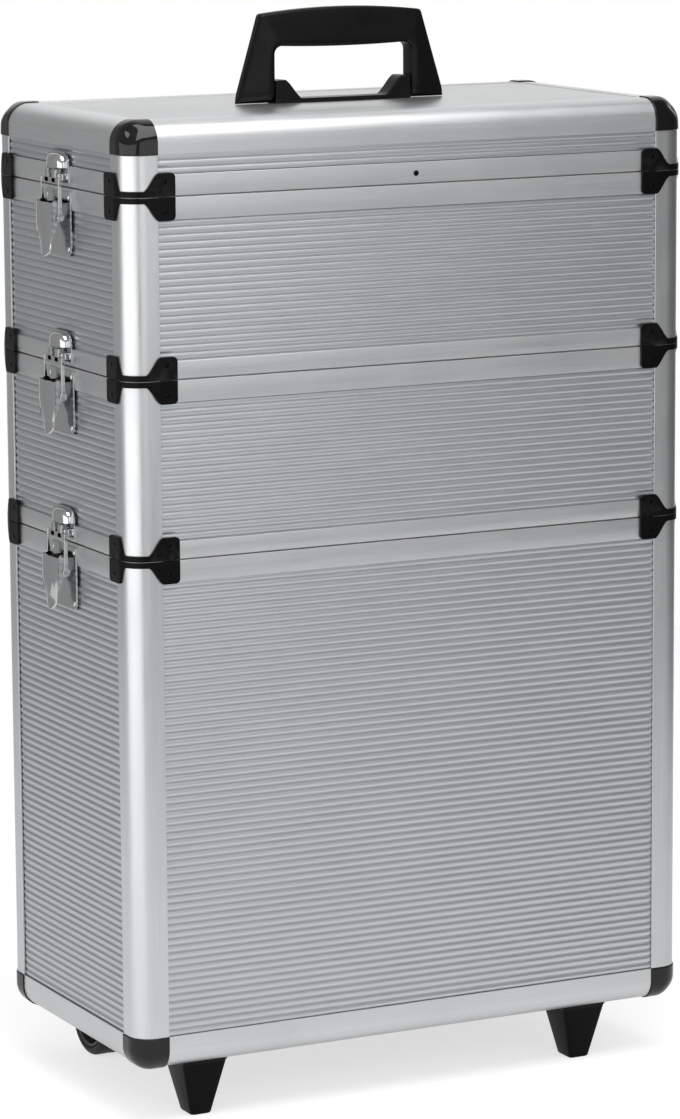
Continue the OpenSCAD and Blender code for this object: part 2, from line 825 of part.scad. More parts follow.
module middle_corner_posts() {
    color(aluminium) corner_posts(z_seam3, z_seam2);
}

module middle_rails() {
    color(aluminium) {
        rails_above(z_seam3, rail_above_h, true);
        rails_below(z_seam2);
    }
}

module middle_brackets() {
    color(black) {
        brackets_above(z_seam3);
        brackets_below(z_seam2);
    }
}

module middle_latch_bases() {
    color(chrome) on_both_sides(z_seam2) latch_base();
}

module middle_keepers() {
    color(chrome) on_both_sides(z_seam3) latch_keeper();
}

module lower_wide_panels() {
    color(panel_colour) wide_panels(z_bottom + panel_edge, z_seam3 - rail_web - play);
}

module lower_narrow_panels() {
    color(panel_colour) narrow_panels(z_bottom + panel_edge, z_seam3 - rail_web - play);
}

// Room for a wheel housing, cut out of what stands at the back of the floor
module well_cut() {
    for (s = [-1, 1])
        translate([s * wheel_x - well_half - play, wheel_y - well_r - well_wall - play, z_bottom - eps])
            cube([2 * (well_half + play), case_d, edge_leg + 2 * eps]);
}

module lower_floor() {
    inset = 2 * panel_edge;
    color(black) placed() difference() {
        translate([0, 0, z_bottom + panel_in])
            linear_extrude(panel_t) square([case_w - inset, case_d - inset], center = true);
        well_cut();
    }
}

module lower_corner_posts() {
    color(aluminium) corner_posts(z_bottom + edge_leg, z_seam3);
}

module lower_rails() {
    color(aluminium) rails_below(z_seam3);
}

module lower_edge_profiles() {
    color(aluminium) placed() difference() {
        translate([0, 0, z_bottom]) {
            wide_walls(wide_run) edge_profile_2d(edge_leg);
            narrow_walls(narrow_run) edge_profile_2d(edge_leg);
        }
        well_cut();
    }
}

module lower_corner_caps() {
    color(black) placed() translate([0, 0, z_bottom]) at_corners() corner_cap(edge_leg);
}

module lower_brackets() {
    color(black) brackets_below(z_seam3);
}

module lower_latch_bases() {
    color(chrome) on_both_sides(z_seam3) latch_base();
}

// Tapered foot under the front edge
module foot() {
    thin = 0.1;
    hull() {
        translate([0, 0, foot_h - thin / 2]) cube([foot_top_w, foot_top_d, thin], center = true);
        translate([0, 0, thin / 2]) cube([foot_base_w, foot_base_d, thin], center = true);
    }
}

module feet() {
    foot_y = -case_d / 2 + foot_front + foot_top_d / 2;
    color(black) placed() {
        translate([foot_left_in - case_w / 2, foot_y, 0]) foot();
        translate([case_w / 2 - foot_right_in, foot_y, 0]) foot();
    }
}

// Wheel housing, drawn about the axle: a round well let into the floor and open to the back, with a
// flange below, a rim on the back and two cheeks for the axle
module wheel_housing() {
    floor_z = z_bottom - wheel_r;
    top_z = well_box_top - wheel_r;
    shell_r = well_r + well_wall;
    inside_y = well_back - profile_t - play;
    flange_half = well_half + flange_w;
    difference() {
        union() {
            intersection() {
                rotate([0, 90, 0]) cylinder(h = 2 * well_half, r = shell_r, center = true);
                translate([-well_half, -shell_r, floor_z])
                    cube([2 * well_half, shell_r + inside_y, 2 * wheel_d]);
            }
            translate([-well_half, 0, floor_z]) cube([2 * well_half, well_back, top_z - floor_z]);
            translate([-flange_half, -shell_r - flange_w, floor_z - flange_t])
                cube([2 * flange_half, shell_r + flange_w + well_back, flange_t]);
            translate([-flange_half, well_back, floor_z - flange_t])
                cube([2 * flange_half, rim_t, flange_t + edge_leg + rim_t]);
            rotate([0, 90, 0]) cylinder(h = 2 * well_half, r = cheek_r, center = true);
            translate([-well_half, -cheek_r, 0]) cube([2 * well_half, 2 * cheek_r, floor_z]);
        }
        difference() {
            rotate([0, 90, 0]) cylinder(h = 2 * (well_half - cheek_t), r = well_r, center = true);
            translate([-well_half, inside_y - well_wall, top_z - well_lid_t])
                cube([2 * well_half, wheel_d, wheel_d]);
        }
        rotate([0, 90, 0]) cylinder(h = 3 * well_half, r = axle_r, center = true);
    }
}

module at_wheel(s) {
    placed() translate([s * wheel_x, wheel_y, wheel_r]) children();
}

module wheel_housings() {
    color(black) {
        at_wheel(-1) wheel_housing();
        at_wheel(1) wheel_housing();
    }
}

module wheel_axles() {
    color(chrome) {
        at_wheel(-1) rotate([0, 90, 0]) cylinder(h = 2 * well_half + 2, r = axle_r, center = true);
        at_wheel(1) rotate([0, 90, 0]) cylinder(h = 2 * well_half + 2, r = axle_r, center = true);
    }
}

// Wheel: a broad tread with rounded shoulders and a dished web on each side
module wheel() {
    half = wheel_w / 2;
    web_r = wheel_r - tread_shoulder;
    bore_r = axle_r + running;
    rotate([0, 90, 0]) rotate_extrude() difference() {
        union() {
            translate([bore_r, -half]) square([web_r - bore_r, wheel_w]);
            translate([web_r - eps, tread_shoulder - half])
                square([tread_shoulder + eps, wheel_w - 2 * tread_shoulder]);
            for (s = [-1, 1])
                translate([web_r, s * (half - tread_shoulder)]) circle(tread_shoulder);
        }
        for (s = [0, 1])
            mirror([0, s]) translate([axle_r + wheel_hub, half - wheel_dish])
                square([wheel_r - wheel_rim - axle_r - wheel_hub, wheel_dish + eps]);
    }
}

module left_wheel() {
    color(black) at_wheel(-1) wheel();
}

module right_wheel() {
    color(black) at_wheel(1) wheel();
}

// A pair of tubes for the pull handle
module tube_pair(r, wall, z0, z1) {
    placed() for (s = [-1, 1])
        translate([s * tube_x, tube_y, z0]) difference() {
            cylinder(h = z1 - z0, r = r);
            translate([0, 0, -eps]) cylinder(h = z1 - z0 + 2 * eps, r = r - wall);
        }
}

module pull_outer_tubes() {
    color(aluminium) tube_pair(tube_r, tube_wall, tube_z0, tube_z1);
}

module pull_middle_tubes() {
    color(aluminium) tube_pair(tube_mid_r, tube_wall, mid_z0, mid_z1);
}

module pull_inner_tubes() {
    color(aluminium) tube_pair(tube_in_r, tube_wall, in_z0, pull_z0 + tube_seat);
}

// Outline of a bar seen from above: straight against the case, with round ends away from it
module bar_2d(half, deep, r) {
    translate([-half, 0]) square([2 * half, deep - r]);
    translate([-half + r, deep - r - eps]) square([2 * (half - r), r + eps]);
    for (s = [-1, 1])
        translate([s * (half - r), deep - r]) circle(r);
}

// Two moulded blocks that hold the outer tubes against the back of the lower case
module pull_brackets() {
    color(black) placed() translate([0, case_d / 2, 0]) {
        difference() {
            translate([0, 0, low_bracket_z]) linear_extrude(low_bracket_h) bar_2d(pull_half, bracket_deep, 6);
            for (s = [-1, 1])
                translate([s * tube_x, tube_y - case_d / 2, tube_z0])
                    cylinder(h = low_bracket_h, r = tube_r);
        }
        difference() {
            translate([0, 0, top_bracket_z]) linear_extrude(top_bracket_h) bar_2d(pull_half, bracket_deep, 6);
            for (s = [-1, 1]) {
                translate([s * tube_x, tube_y - case_d / 2, top_bracket_z - eps])
                    cylinder(h = tube_seat + eps, r = tube_r);
                translate([s * tube_x, tube_y - case_d / 2, top_bracket_z])
                    cylinder(h = top_bracket_h + eps, r = tube_mid_r + tube_play);
            }
        }
    }
}

// Grip of the pull handle: a crossbar on two legs, with a finger opening and a seat for the button
module pull_grip() {
    clear = 1;
    color(black) placed() translate([0, case_d / 2 + clear, pull_z0]) difference() {
        linear_extrude(pull_grip_h) bar_2d(pull_half, bracket_deep - clear, 8);
        translate([-pull_half + pull_leg_w, -eps, -eps])
            cube([2 * (pull_half - pull_leg_w), bracket_deep + 2 * eps, pull_grip_h - pull_bar_h + eps]);
        for (s = [-1, 1])
            translate([s * tube_x, tube_y - case_d / 2 - clear, -eps]) cylinder(h = tube_seat + eps, r = tube_in_r);
        translate([-button_w / 2 - play, (bracket_deep - clear - button_d) / 2 - play,
            pull_grip_h - button_h - button_travel])
            cube([button_w + 2 * play, button_d + 2 * play, pull_grip_h]);
    }
}

module pull_button() {
    color([0.25, 0.25, 0.26]) placed()
        translate([-button_w / 2, case_d / 2 + (bracket_deep + 1 - button_d) / 2, pull_z1 - button_h + 0.2])
            cube([button_w, button_d, button_h - 0.2 + button_proud]);
}

module lever_at(side, seam) {
    color(chrome) on_side(side, seam) latch_lever();
}

module hook_at(side, seam) {
    color(chrome) on_side(side, seam) latch_hook();
}

lid_top_panel();
lid_wide_panels();
lid_narrow_panels();
lid_edge_profiles();
lid_corner_posts();
lid_rails();
lid_corner_caps();
lid_brackets();
lid_keepers();
handle_base();
handle_pins();
handle_grip();
upper_wide_panels();
upper_narrow_panels();
upper_floor();
upper_corner_posts();
upper_rails();
upper_brackets();
upper_latch_bases();
upper_keepers();
middle_wide_panels();
middle_narrow_panels();
middle_floor();
middle_corner_posts();
middle_rails();
middle_brackets();
middle_latch_bases();
middle_keepers();
lower_wide_panels();
lower_narrow_panels();
lower_floor();
lower_corner_posts();
lower_rails();
lower_edge_profiles();
lower_corner_caps();
lower_brackets();
lower_latch_bases();
feet();
wheel_housings();
wheel_axles();
left_wheel();
right_wheel();
pull_outer_tubes();
pull_brackets();
pull_middle_tubes();
pull_inner_tubes();
pull_grip();
pull_button();
lever_at("left", z_seam1);  // top_left_lever
lever_at("right", z_seam1);  // top_right_lever
lever_at("left", z_seam2);  // middle_left_lever
lever_at("right", z_seam2);  // middle_right_lever
lever_at("left", z_seam3);  // bottom_left_lever
lever_at("right", z_seam3);  // bottom_right_lever
hook_at("left", z_seam1);  // top_left_hook
hook_at("right", z_seam1);  // top_right_hook
hook_at("left", z_seam2);  // middle_left_hook
hook_at("right", z_seam2);  // middle_right_hook
hook_at("left", z_seam3);  // bottom_left_hook
hook_at("right", z_seam3);  // bottom_right_hook
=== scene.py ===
import bmesh
import bpy
import numpy as np
from math import atan2, cos, degrees, radians, sin
from mathutils import Matrix, Vector


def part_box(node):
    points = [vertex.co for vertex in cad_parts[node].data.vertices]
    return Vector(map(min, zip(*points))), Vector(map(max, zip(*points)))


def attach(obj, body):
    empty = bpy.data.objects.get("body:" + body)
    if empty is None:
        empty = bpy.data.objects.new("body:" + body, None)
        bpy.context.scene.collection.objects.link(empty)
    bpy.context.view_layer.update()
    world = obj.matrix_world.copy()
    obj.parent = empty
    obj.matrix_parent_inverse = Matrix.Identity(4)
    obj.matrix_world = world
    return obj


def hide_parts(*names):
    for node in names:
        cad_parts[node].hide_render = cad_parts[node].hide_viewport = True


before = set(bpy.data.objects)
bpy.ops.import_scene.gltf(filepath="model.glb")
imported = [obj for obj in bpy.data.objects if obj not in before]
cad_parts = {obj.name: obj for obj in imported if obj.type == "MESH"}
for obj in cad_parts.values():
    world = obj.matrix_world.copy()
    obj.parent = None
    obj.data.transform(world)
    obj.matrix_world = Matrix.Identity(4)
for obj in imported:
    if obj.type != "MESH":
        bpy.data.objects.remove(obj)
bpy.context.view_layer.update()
mm = 0.001   # pieces are worked out in millimetres, and makePiece takes them to metres
xAxis, yAxis, zAxis = np.eye(3)


# The low corner of a node's box, in millimetres.
def lowOf(node):
    return np.array(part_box(node)[0]) / mm


# The high corner of the same box.
def highOf(node):
    return np.array(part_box(node)[1]) / mm


# Main places, all read from the frame
postLow, postHigh = lowOf("upper_corner_posts"), highOf("upper_corner_posts")
caseY = (postLow[1] + postHigh[1]) / 2
halfWidth = (postHigh[0] - postLow[0]) / 2
halfDepth = (postHigh[1] - postLow[1]) / 2
frontY = caseY - halfDepth
baseLevel = lowOf("lower_edge_profiles")[2]
seamLow = lowOf("middle_corner_posts")[2]   # between the lower and the middle case
seamMid = lowOf("upper_corner_posts")[2]
seamTop = lowOf("lid_corner_posts")[2]
topLevel = highOf("lid_edge_profiles")[2]
seamsOf = {
    "lid": (seamTop, None),   # seam below and seam above
    "upper": (seamMid, seamTop),
    "middle": (seamLow, seamMid),
    "lower": (None, seamLow),
}
print("frame:", len(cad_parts), "nodes, case top at", round(topLevel, 1), "mm")


# The body that a tier belongs to.
def bodyOf(tier):
    return "lid" if tier == "lid" else tier + "_case"


# Puts mesh, camera or lamp data into the scene as an object.
def addObject(name, data):
    made = bpy.data.objects.new(name, data)
    bpy.context.scene.collection.objects.link(made)
    return made


# Camera at the photograph's viewing angle

cameraPlace = {
    "fromCase": (-1.5556, -3.0818),   # metres from the middle of the case
    "aboveTop": 0.2544,
    "yaw": 26.75,                     # degrees, like the next two
    "pitch": 9.93,
    "roll": 0.375,
    "lens": 147.8,
    "sensor": 36,
    "near": 0.05,
    "far": 60,
}


# Forward is (sin yaw cos pitch, cos yaw cos pitch, -sin pitch), and the roll turns right and down about it.
def makeCamera(p):
    yaw, pitch, roll = (radians(p[key]) for key in ("yaw", "pitch", "roll"))
    forward = Vector((sin(yaw) * cos(pitch), cos(yaw) * cos(pitch), -sin(pitch)))
    right = Vector((cos(yaw), -sin(yaw), 0))
    down = forward.cross(right)
    turnedRight = cos(roll) * right + sin(roll) * down
    turnedDown = cos(roll) * down - sin(roll) * right
    data = bpy.data.cameras.new("photoCamera")
    data.lens = p["lens"]
    data.sensor_width = p["sensor"]
    data.clip_start = p["near"]
    data.clip_end = p["far"]
    camera = addObject("photoCamera", data)
    turn = Matrix((turnedRight, -turnedDown, -forward)).transposed().to_4x4()
    place = Vector((p["fromCase"][0], p["fromCase"][1] + caseY * mm, topLevel * mm + p["aboveTop"]))
    camera.matrix_world = Matrix.Translation(place) @ turn
    bpy.context.scene.camera = camera


makeCamera(cameraPlace)


# Finishes

# Noise patterns: cells to the metre, detail, roughness and distortion
patterns = {
    "drawLines": (1600, 4, 0.6, 0.0),
    "metalClouds": (14, 4, 0.6, 0.6),
    "scratches": (260, 2, 0.55, 0.0),
    "sheetLines": (1300, 4, 0.6, 0.0),
    "sheetClouds": (7, 5, 0.55, 0.8),
    "ribTones": (95, 1, 0.55, 0.0),
    "grooveShade": (60, 4, 0.55, 0.0),
    "waves": (90, 2, 0.55, 0.4),
    "haze": (420, 4, 0.55, 0.0),
    "grain": (1500, 5, 0.65, 0.0),
    "gloss": (22, 4, 0.55, 0.5),
    "rubbing": (150, 3, 0.55, 0.0),
    "pores": (2200, 3, 0.7, 0.0),
    "dents": (60, 3, 0.55, 0.3),
}
metalTint = 0.016        # how far the profiles lean from grey towards blue
fineBump = 0.00006       # depth of draw lines, in metres


# Adds a shader node. An input is linked where it is given another node's output, and set where it isn't.
def addNode(tree, kind, inputs=(), **values):
    made = tree.nodes.new("ShaderNode" + kind)
    for key, value in values.items():
        setattr(made, key, value)
    for key, value in dict(inputs).items():
        if isinstance(value, bpy.types.NodeSocket):
            tree.links.new(value, made.inputs[key])
        else:
            made.inputs[key].default_value = value
    return made.outputs


# Builds one material's nodes.
class Finish:
    def __init__(self, name, **values):
        self.material = bpy.data.materials.new(name)
        self.material.use_nodes = True
        self.tree = self.material.node_tree
        self.shader = self.tree.nodes["Principled BSDF"]
        self.place = self.node("TexCoord")["Object"]
        for key, value in values.items():
            self.shader.inputs[key.replace("_", " ")].default_value = value

    # A node in this material.
    def node(self, kind, inputs=(), **values):
        return addNode(self.tree, kind, inputs, **values)

    # Noise on Object coordinates, stretched by a factor on each axis.
    def noise(self, pattern, stretch=(1, 1, 1), scale=None):
        cells, detail, roughness, distortion = patterns[pattern]
        place = self.node("Mapping", {"Vector": self.place, "Scale": stretch})[0]
        return self.node("TexNoise", {
            "Vector": place, "Scale": scale or cells, "Detail": detail, "Roughness": roughness,
            "Distortion": distortion,
        })["Fac"]

    # Takes the stretch from start to end to the stretch from low to high, in a straight line.
    def spread(self, source, low, high, start=0.3, end=0.7):
        return self.node("MapRange", {
            "Value": source, "From Min": start, "From Max": end, "To Min": low, "To Max": high})[0]

    # The first colour where the factor is 0, the second where it is 1.
    def mix(self, factor, first, second):
        return self.node("Mix", {0: factor, 6: first, 7: second}, data_type="RGBA")[2]

    # The sum of two values, and below it their product.
    def plus(self, first, second):
        return self.node("Math", {0: first, 1: second}, operation="ADD")[0]

    def times(self, first, second):
        return self.node("Math", {0: first, 1: second}, operation="MULTIPLY")[0]

    # A bump over the one given as before.
    def bump(self, height, strength, distance, before=None):
        under = {"Normal": before} if before else {}
        return self.node("Bump", {"Height": height, "Strength": strength, "Distance": distance, **under})[0]

    # Goes from 0 on flat ground to 1 along outer edges.
    def edges(self, low=0.53, high=0.62):
        return self.spread(self.node("NewGeometry")["Pointiness"], 0, 1, low, high)

    # Links what was worked out to the material.
    def wear(self, colour, roughness, normal):
        for key, source in (("Base Color", colour), ("Roughness", roughness), ("Normal", normal)):
            self.tree.links.new(source, self.shader.inputs[key])
        return self.material


# A grey whose red falls and whose blue grows by the tint.
def grey(value, tint=0.0):
    return (value * (1 - tint), value, value * (1 + tint), 1)


# A factor for the axis that a pattern runs along, and another for the rest.
def stretched(along, factor, rest=1):
    return [factor if axis == along else rest for axis in "XYZ"]


# Anodised aluminium: fine draw lines along the piece, soft clouds and a few faint scratches.
def satinMetal(name, level, roughness, along):
    f = Finish(name, Metallic=1.0)
    lines = f.noise("drawLines", stretched(along, 0.012))
    clouds = f.noise("metalClouds")
    marks = f.spread(f.noise("scratches", stretched(along, 0.5, 0.06)), 0, 1, 0.68, 0.8)
    dull, bright = grey(level * 0.93, metalTint), grey(level * 1.06, metalTint)
    colour = f.mix(f.spread(lines, 0, 1, 0.25, 0.75), dull, bright)
    colour = f.mix(f.spread(clouds, 0, 0.5), colour, grey(level * 0.94, metalTint / 2))
    rough = f.plus(f.spread(lines, roughness - 0.04, roughness + 0.05), f.spread(clouds, -0.03, 0.05))
    return f.wear(colour, rough, f.bump(marks, 0.06, 0.00005, f.bump(lines, 0.10, fineBump)))


# Rolled sheet on the panels: fine lines along the ribs, slow changes of tone, and grooves that are rougher
# and painted darker as shade.
# The distance from the case's middle, read from the Object coordinates, tells how deep a point lies.
def ribbedMetal(name, level, roughness, along, outside, p):
    f = Finish(name, Metallic=1.0)
    lines = f.noise("sheetLines", stretched(along, 0.015))
    axes = f.node("SeparateXYZ", {0: f.place})
    offset = f.plus(axes["Y"], -caseY * mm) if along == "X" else axes["X"]
    away = f.node("Math", {0: offset}, operation="ABSOLUTE")[0]
    depth = f.spread(away, 0, 1, (outside - p["crest"] - 0.02) * mm, (outside - p["groove"]) * mm)
    # Painted shade in the grooves: a mask that grows with depth below the crests, varied a little by noise.
    grooveShade = f.times(depth, f.spread(f.noise("grooveShade", (0.3, 0.3, 1)), 0.78, 1.0))
    colour = f.mix(f.spread(lines, 0, 1, 0.25, 0.75), grey(level * 0.94, 0.04), grey(level * 1.05, 0.04))
    colour = f.mix(f.spread(f.noise("ribTones", (0.05, 0.05, 1)), 0, 0.6), colour, grey(level * 0.94, 0.03))
    colour = f.mix(f.spread(f.noise("sheetClouds"), 0, 0.5), colour, grey(level * 1.05, 0.045))
    # The painted groove shade takes the colour down to two thirds of the level.
    colour = f.mix(grooveShade, colour, grey(level * 0.66, 0.03))
    rough = f.plus(f.spread(lines, roughness - 0.04, roughness + 0.04), f.spread(depth, 0.0, 0.12, 0, 1))
    return f.wear(colour, rough, f.bump(lines, 0.10, fineBump))


# Plated pressing: nearly a mirror, with slight waves, haze and dull spots, and painted shade in its creases
# and hollows.
def platedMetal(name, level, roughness):
    f = Finish(name, Metallic=1.0)
    waves, haze = f.noise("waves"), f.noise("haze")
    colour = f.mix(f.spread(haze, 0, 1), grey(level * 0.92, 0.01), grey(level, 0.01))
    # Painted shade: where the surface turns inwards, the colour falls to under half the level.
    colour = f.mix(f.edges(0.36, 0.47), grey(level * 0.45, 0.01), colour)
    rough = f.plus(f.spread(haze, roughness, roughness + 0.07), f.spread(waves, -0.02, 0.03))
    return f.wear(colour, rough, f.bump(waves, 0.12, 0.0004))


# Moulded plastic: fine grain, uneven gloss where hands and dust reach it, paler rubbed edges.
def mouldedPlastic(name, level, roughness, grain, grainDepth, specular, edgeLevel):
    f = Finish(name, Metallic=0.0, Specular_IOR_Level=specular)
    cells, clouds = f.noise("grain", scale=grain), f.noise("gloss")
    rubbed = f.times(f.edges(), f.spread(f.noise("rubbing"), 0.1, 0.9, 0.42, 0.62))
    colour = f.mix(f.spread(clouds, 0, 1), grey(level * 0.8, 0.02), grey(level * 1.3, 0.02))
    colour = f.mix(rubbed, colour, grey(edgeLevel, 0.01))
    rough = f.plus(f.spread(cells, roughness - 0.03, roughness + 0.05), f.spread(clouds, -0.03, 0.06))
    return f.wear(colour, rough, f.bump(cells, 0.25, grainDepth))


# Closed-cell lining: tiny pores and slight dents.
def foamSheet(name, level):
    f = Finish(name, Metallic=0.0, Specular_IOR_Level=0.3, Sheen_Weight=0.15, Sheen_Roughness=0.6)
    pores, dents = f.noise("pores"), f.noise("dents")
    colour = f.mix(f.spread(pores, 0, 1), grey(level * 0.7), grey(level * 1.35))
    rough = f.plus(f.spread(pores, 0.72, 0.9), f.spread(dents, -0.04, 0.04))
    return f.wear(colour, rough, f.bump(dents, 0.2, 0.0006, f.bump(pores, 0.35, 0.00012)))


# Level and roughness of each metal
metalX = satinMetal("profileAlongX", 0.60, 0.41, "X")
metalY = satinMetal("profileAlongY", 0.60, 0.36, "Y")
metalZ = satinMetal("profileAlongZ", 0.60, 0.36, "Z")
metalTop = satinMetal("topSheet", 0.54, 0.36, "X")
plated = platedMetal("platedPressing", 0.56, 0.07)
axleSteel = platedMetal("drawnSteel", 0.55, 0.22)
# Level, roughness, cells of grain to the metre, grain's depth, specular and level of rubbed edges
capBlack = mouldedPlastic("capBlack", 0.003, 0.10, 900, 0.00002, 0.36, 0.015)
glossBlack = mouldedPlastic("glossBlack", 0.002, 0.10, 900, 0.00003, 0.06, 0.010)
handleBlack = mouldedPlastic("handleBlack", 0.003, 0.27, 1500, 0.00008, 0.13, 0.015)
satinBlack = mouldedPlastic("satinBlack", 0.0025, 0.30, 1500, 0.00008, 0.08, 0.015)
wheelBlack = mouldedPlastic("wheelHub", 0.012, 0.34, 1200, 0.00008, 0.45, 0.07)
treadBlack = mouldedPlastic("wheelTread", 0.016, 0.55, 2100, 0.00015, 0.35, 0.05)
buttonGrey = mouldedPlastic("buttonGrey", 0.06, 0.40, 1500, 0.00010, 0.40, 0.16)
boardBlack = mouldedPlastic("boardBlack", 0.018, 0.60, 1700, 0.00012, 0.30, 0.05)
liningFoam = foamSheet("liningFoam", 0.020)
print("finishes:", len(bpy.data.materials), "materials")


# Shapes worked out as arrays. A part is (points, quads, caps), with caps as lists of point numbers

# Evenly spaced angles in radians, between two in degrees.
def anglesFrom(start, end, count):
    return np.radians(np.linspace(start, end, count))


# An S-shaped rise from 0 to 1: three times the square less twice the cube.
def eased(t):
    return t * t * (3 - 2 * t)


# Points on a circle round (x, y), from one angle to another, in degrees.
def arc(x, y, r, start, end, count=8):
    a = anglesFrom(start, end, count)
    return np.stack([x + r * np.cos(a), y + r * np.sin(a)], 1)


# Single points and rows of points, joined into one line.
def outline(*pieces):
    return np.concatenate([np.atleast_2d(np.asarray(piece, float)) for piece in pieces])


# Half an outline and its mirror image, which runs back and leaves out as many points as both halves share.
def bothHalves(half, flip=(-1, 1), shared=0):
    return np.concatenate([half, (half * flip)[::-1][shared:]])


# A skin over a grid of points, given as (row, column, xyz): a four-cornered face between neighbours, and
# rows or columns closed in a ring where asked.
def skin(points, roundRows=False, roundColumns=False):
    rows, columns = points.shape[:2]
    a = np.arange(rows if roundRows else rows - 1)[:, None]
    b = np.arange(columns if roundColumns else columns - 1)
    a2, b2 = (a + 1) % rows, (b + 1) % columns
    quads = np.stack([a * columns + b, a * columns + b2, a2 * columns + b2, a2 * columns + b], -1)
    return points.reshape(-1, 3), quads.reshape(-1, 4), []


# A closed skin over rings of points, given as (ring, point, xyz), with a flat cap at each end.
def tube(rings):
    points, quads, _ = skin(rings, roundColumns=True)
    count = rings.shape[1]
    return points, quads, [list(range(count)), list(range(len(points) - count, len(points)))]


# An outline carried straight along a path: origin + x * across + y * up + t * length * along.
def prism(section, origin, across, up, along, length):
    flat = np.asarray(origin, float) + section[:, :1] * across + section[:, 1:] * up
    return tube(np.stack([flat, flat + length * along]))


# A closed outline of (radius, height) turned once round the Z axis.
def lathe(profile, count=48):
    a = np.linspace(0, 2 * np.pi, count, endpoint=False)[:, None]
    r, h = profile.T
    return skin(np.stack([r * np.cos(a), r * np.sin(a), h + 0 * a], -1), True, True)


# Points moved to a distance r from the core, along the line from the core to them.
def pushedOut(points, core, r):
    away = points - core
    return core + r * away / np.linalg.norm(away, axis=-1, keepdims=True)


# A box with rounded edges: each point of a cube's grid is pushed out by r from the inner box.
def roundedBox(low, high, r, steps=4):
    low, high = np.asarray(low, float), np.asarray(high, float)
    bend = r * np.tan(anglesFrom(-45, 0, steps + 1))
    lines = [np.concatenate([start + r + bend, end - r - bend[::-1]]) for start, end in zip(low, high)]
    parts = []
    for axis in range(3):
        u, v = [k for k in range(3) if k != axis]
        for side in (low, high):
            points = np.zeros((len(lines[u]), len(lines[v]), 3))
            points[..., u], points[..., v], points[..., axis] = lines[u][:, None], lines[v], side[axis]
            parts.append(skin(pushedOut(points, np.clip(points, low + r, high - r), r)))
    return together(parts)


# A low rivet head: radius falls as a quarter ellipse while the height grows.
def dome(centre, normal, r, height):
    t = np.linspace(0, 1, 6)
    pole, sunk = 0.001, -0.3 * height
    profile = outline([pole, sunk], [r, sunk], np.stack([r * np.sqrt(1 - t ** 2) + pole, height * t], 1))
    points, quads, caps = lathe(profile, 20)
    turn = Vector(normal).to_track_quat("Z", "Y").to_matrix()
    return points @ np.array(turn).T + centre, quads, caps


# Parts joined into one: the point numbers of each start where the last one's end.
def together(parts):
    points, quads, caps, start = [], [], [], 0
    for p, q, c in parts:
        points.append(p)
        quads.append(q + start)
        caps += [[index + start for index in cap] for cap in c]
        start += len(p)
    return np.concatenate(points), np.concatenate(quads), caps


# The part with its axes swapped, scaled and moved, in that order.
def placed(part, shift, scale=1, order=(0, 1, 2)):
    points, quads, caps = part
    return points[:, order] * scale + shift, quads, caps


# The same part on the other side of the case's middle, in X, in Y or in both.
def mirrored(part, x=1, y=1):
    return placed(part, (0, caseY * (1 - y), 0), (x, y, 1))


# The part at the front left corner, and its mirror images at the other three.
def fourCorners(part):
    return together([mirrored(part, x, y) for x in (1, -1) for y in (1, -1)])


# The part on one narrow side, and its mirror image on the other.
def twoSides(part):
    return together([part, mirrored(part, -1)])


# The part on the front, and its mirror image on the back.
def frontAndBack(part):
    return together([part, mirrored(part, 1, -1)])


# Puts a part into a mesh, closes its seams, turns its faces outwards and hands it to its body.
def makePiece(name, part, body, material, replaced=(), bevel=0.0, segments=2, smooth=38, wall=0.0):
    points, quads, caps = part
    mesh = bpy.data.meshes.new(name)
    mesh.from_pydata((points * mm).tolist(), [], quads.tolist() + caps)
    clean = bmesh.new()
    clean.from_mesh(mesh)
    bmesh.ops.remove_doubles(clean, verts=clean.verts, dist=2e-6)   # metres
    bmesh.ops.dissolve_degenerate(clean, edges=clean.edges, dist=1e-7)
    bmesh.ops.recalc_face_normals(clean, faces=clean.faces)
    clean.to_mesh(mesh)
    clean.free()
    mesh.polygons.foreach_set("use_smooth", [True] * len(mesh.polygons))
    mesh.set_sharp_from_angle(angle=radians(smooth))
    mesh.materials.append(material)
    piece = addObject(name, mesh)
    if wall:
        shell = piece.modifiers.new("wall", "SOLIDIFY")
        shell.thickness = wall * mm
        shell.offset = -1
    if bevel:
        rounding = piece.modifiers.new("edges", "BEVEL")
        rounding.width = bevel * mm
        rounding.segments = segments
        rounding.limit_method = "ANGLE"
        rounding.angle_limit = radians(smooth + 4)   # only edges that are clearly sharp
        rounding.harden_normals = True
    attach(piece, body)
    if replaced:
        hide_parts(*replaced)


# Ribbed panels

panelShape = {
    "crest": 1.5,      # depth of the rib tops below the outside face
    "groove": 2.0,
    "thick": 5.5,      # depth of the flat back
    "pitch": 5.3,
    "edge": 16.7,      # distance of the panel's edge from the case's corner
    "rim": 1,          # least flat strip above and below the ribs
    "ribDepths": np.array([1.0, 0.62, 0.28, 0.08, 0.0, 0.0, 0.08, 0.28, 0.62, 1.0]),   # 1 in the groove
    "ribPlaces": np.array([0.11, 0.17, 0.23, 0.32, 0.43, 0.57, 0.68, 0.77, 0.83, 0.89]),
}


# Depth and height along one panel: equal rounded ribs with narrow flat grooves between them.
def ribbedSection(low, high, p):
    count = int((high - low - 2 * p["rim"]) // p["pitch"])
    first = (low + high - count * p["pitch"]) / 2
    heights = (first + p["pitch"] * (np.arange(count)[:, None] + p["ribPlaces"])).ravel()
    depths = np.tile(p["crest"] + (p["groove"] - p["crest"]) * p["ribDepths"], count)
    return outline([p["groove"], low], np.stack([depths, heights], 1), [p["groove"], high])


# The section carried along the wall, and a flat back joined to it at every height.
def ribbedPanel(low, high, halfRun, wallAt, p):
    depths, heights = ribbedSection(low, high, p).T
    corners = ((-halfRun, depths), (halfRun, depths), (halfRun, p["thick"]), (-halfRun, p["thick"]))
    loop = [np.stack([x + 0 * heights, wallAt + depth + 0 * heights, heights], -1) for x, depth in corners]
    return tube(np.stack(loop, 1))


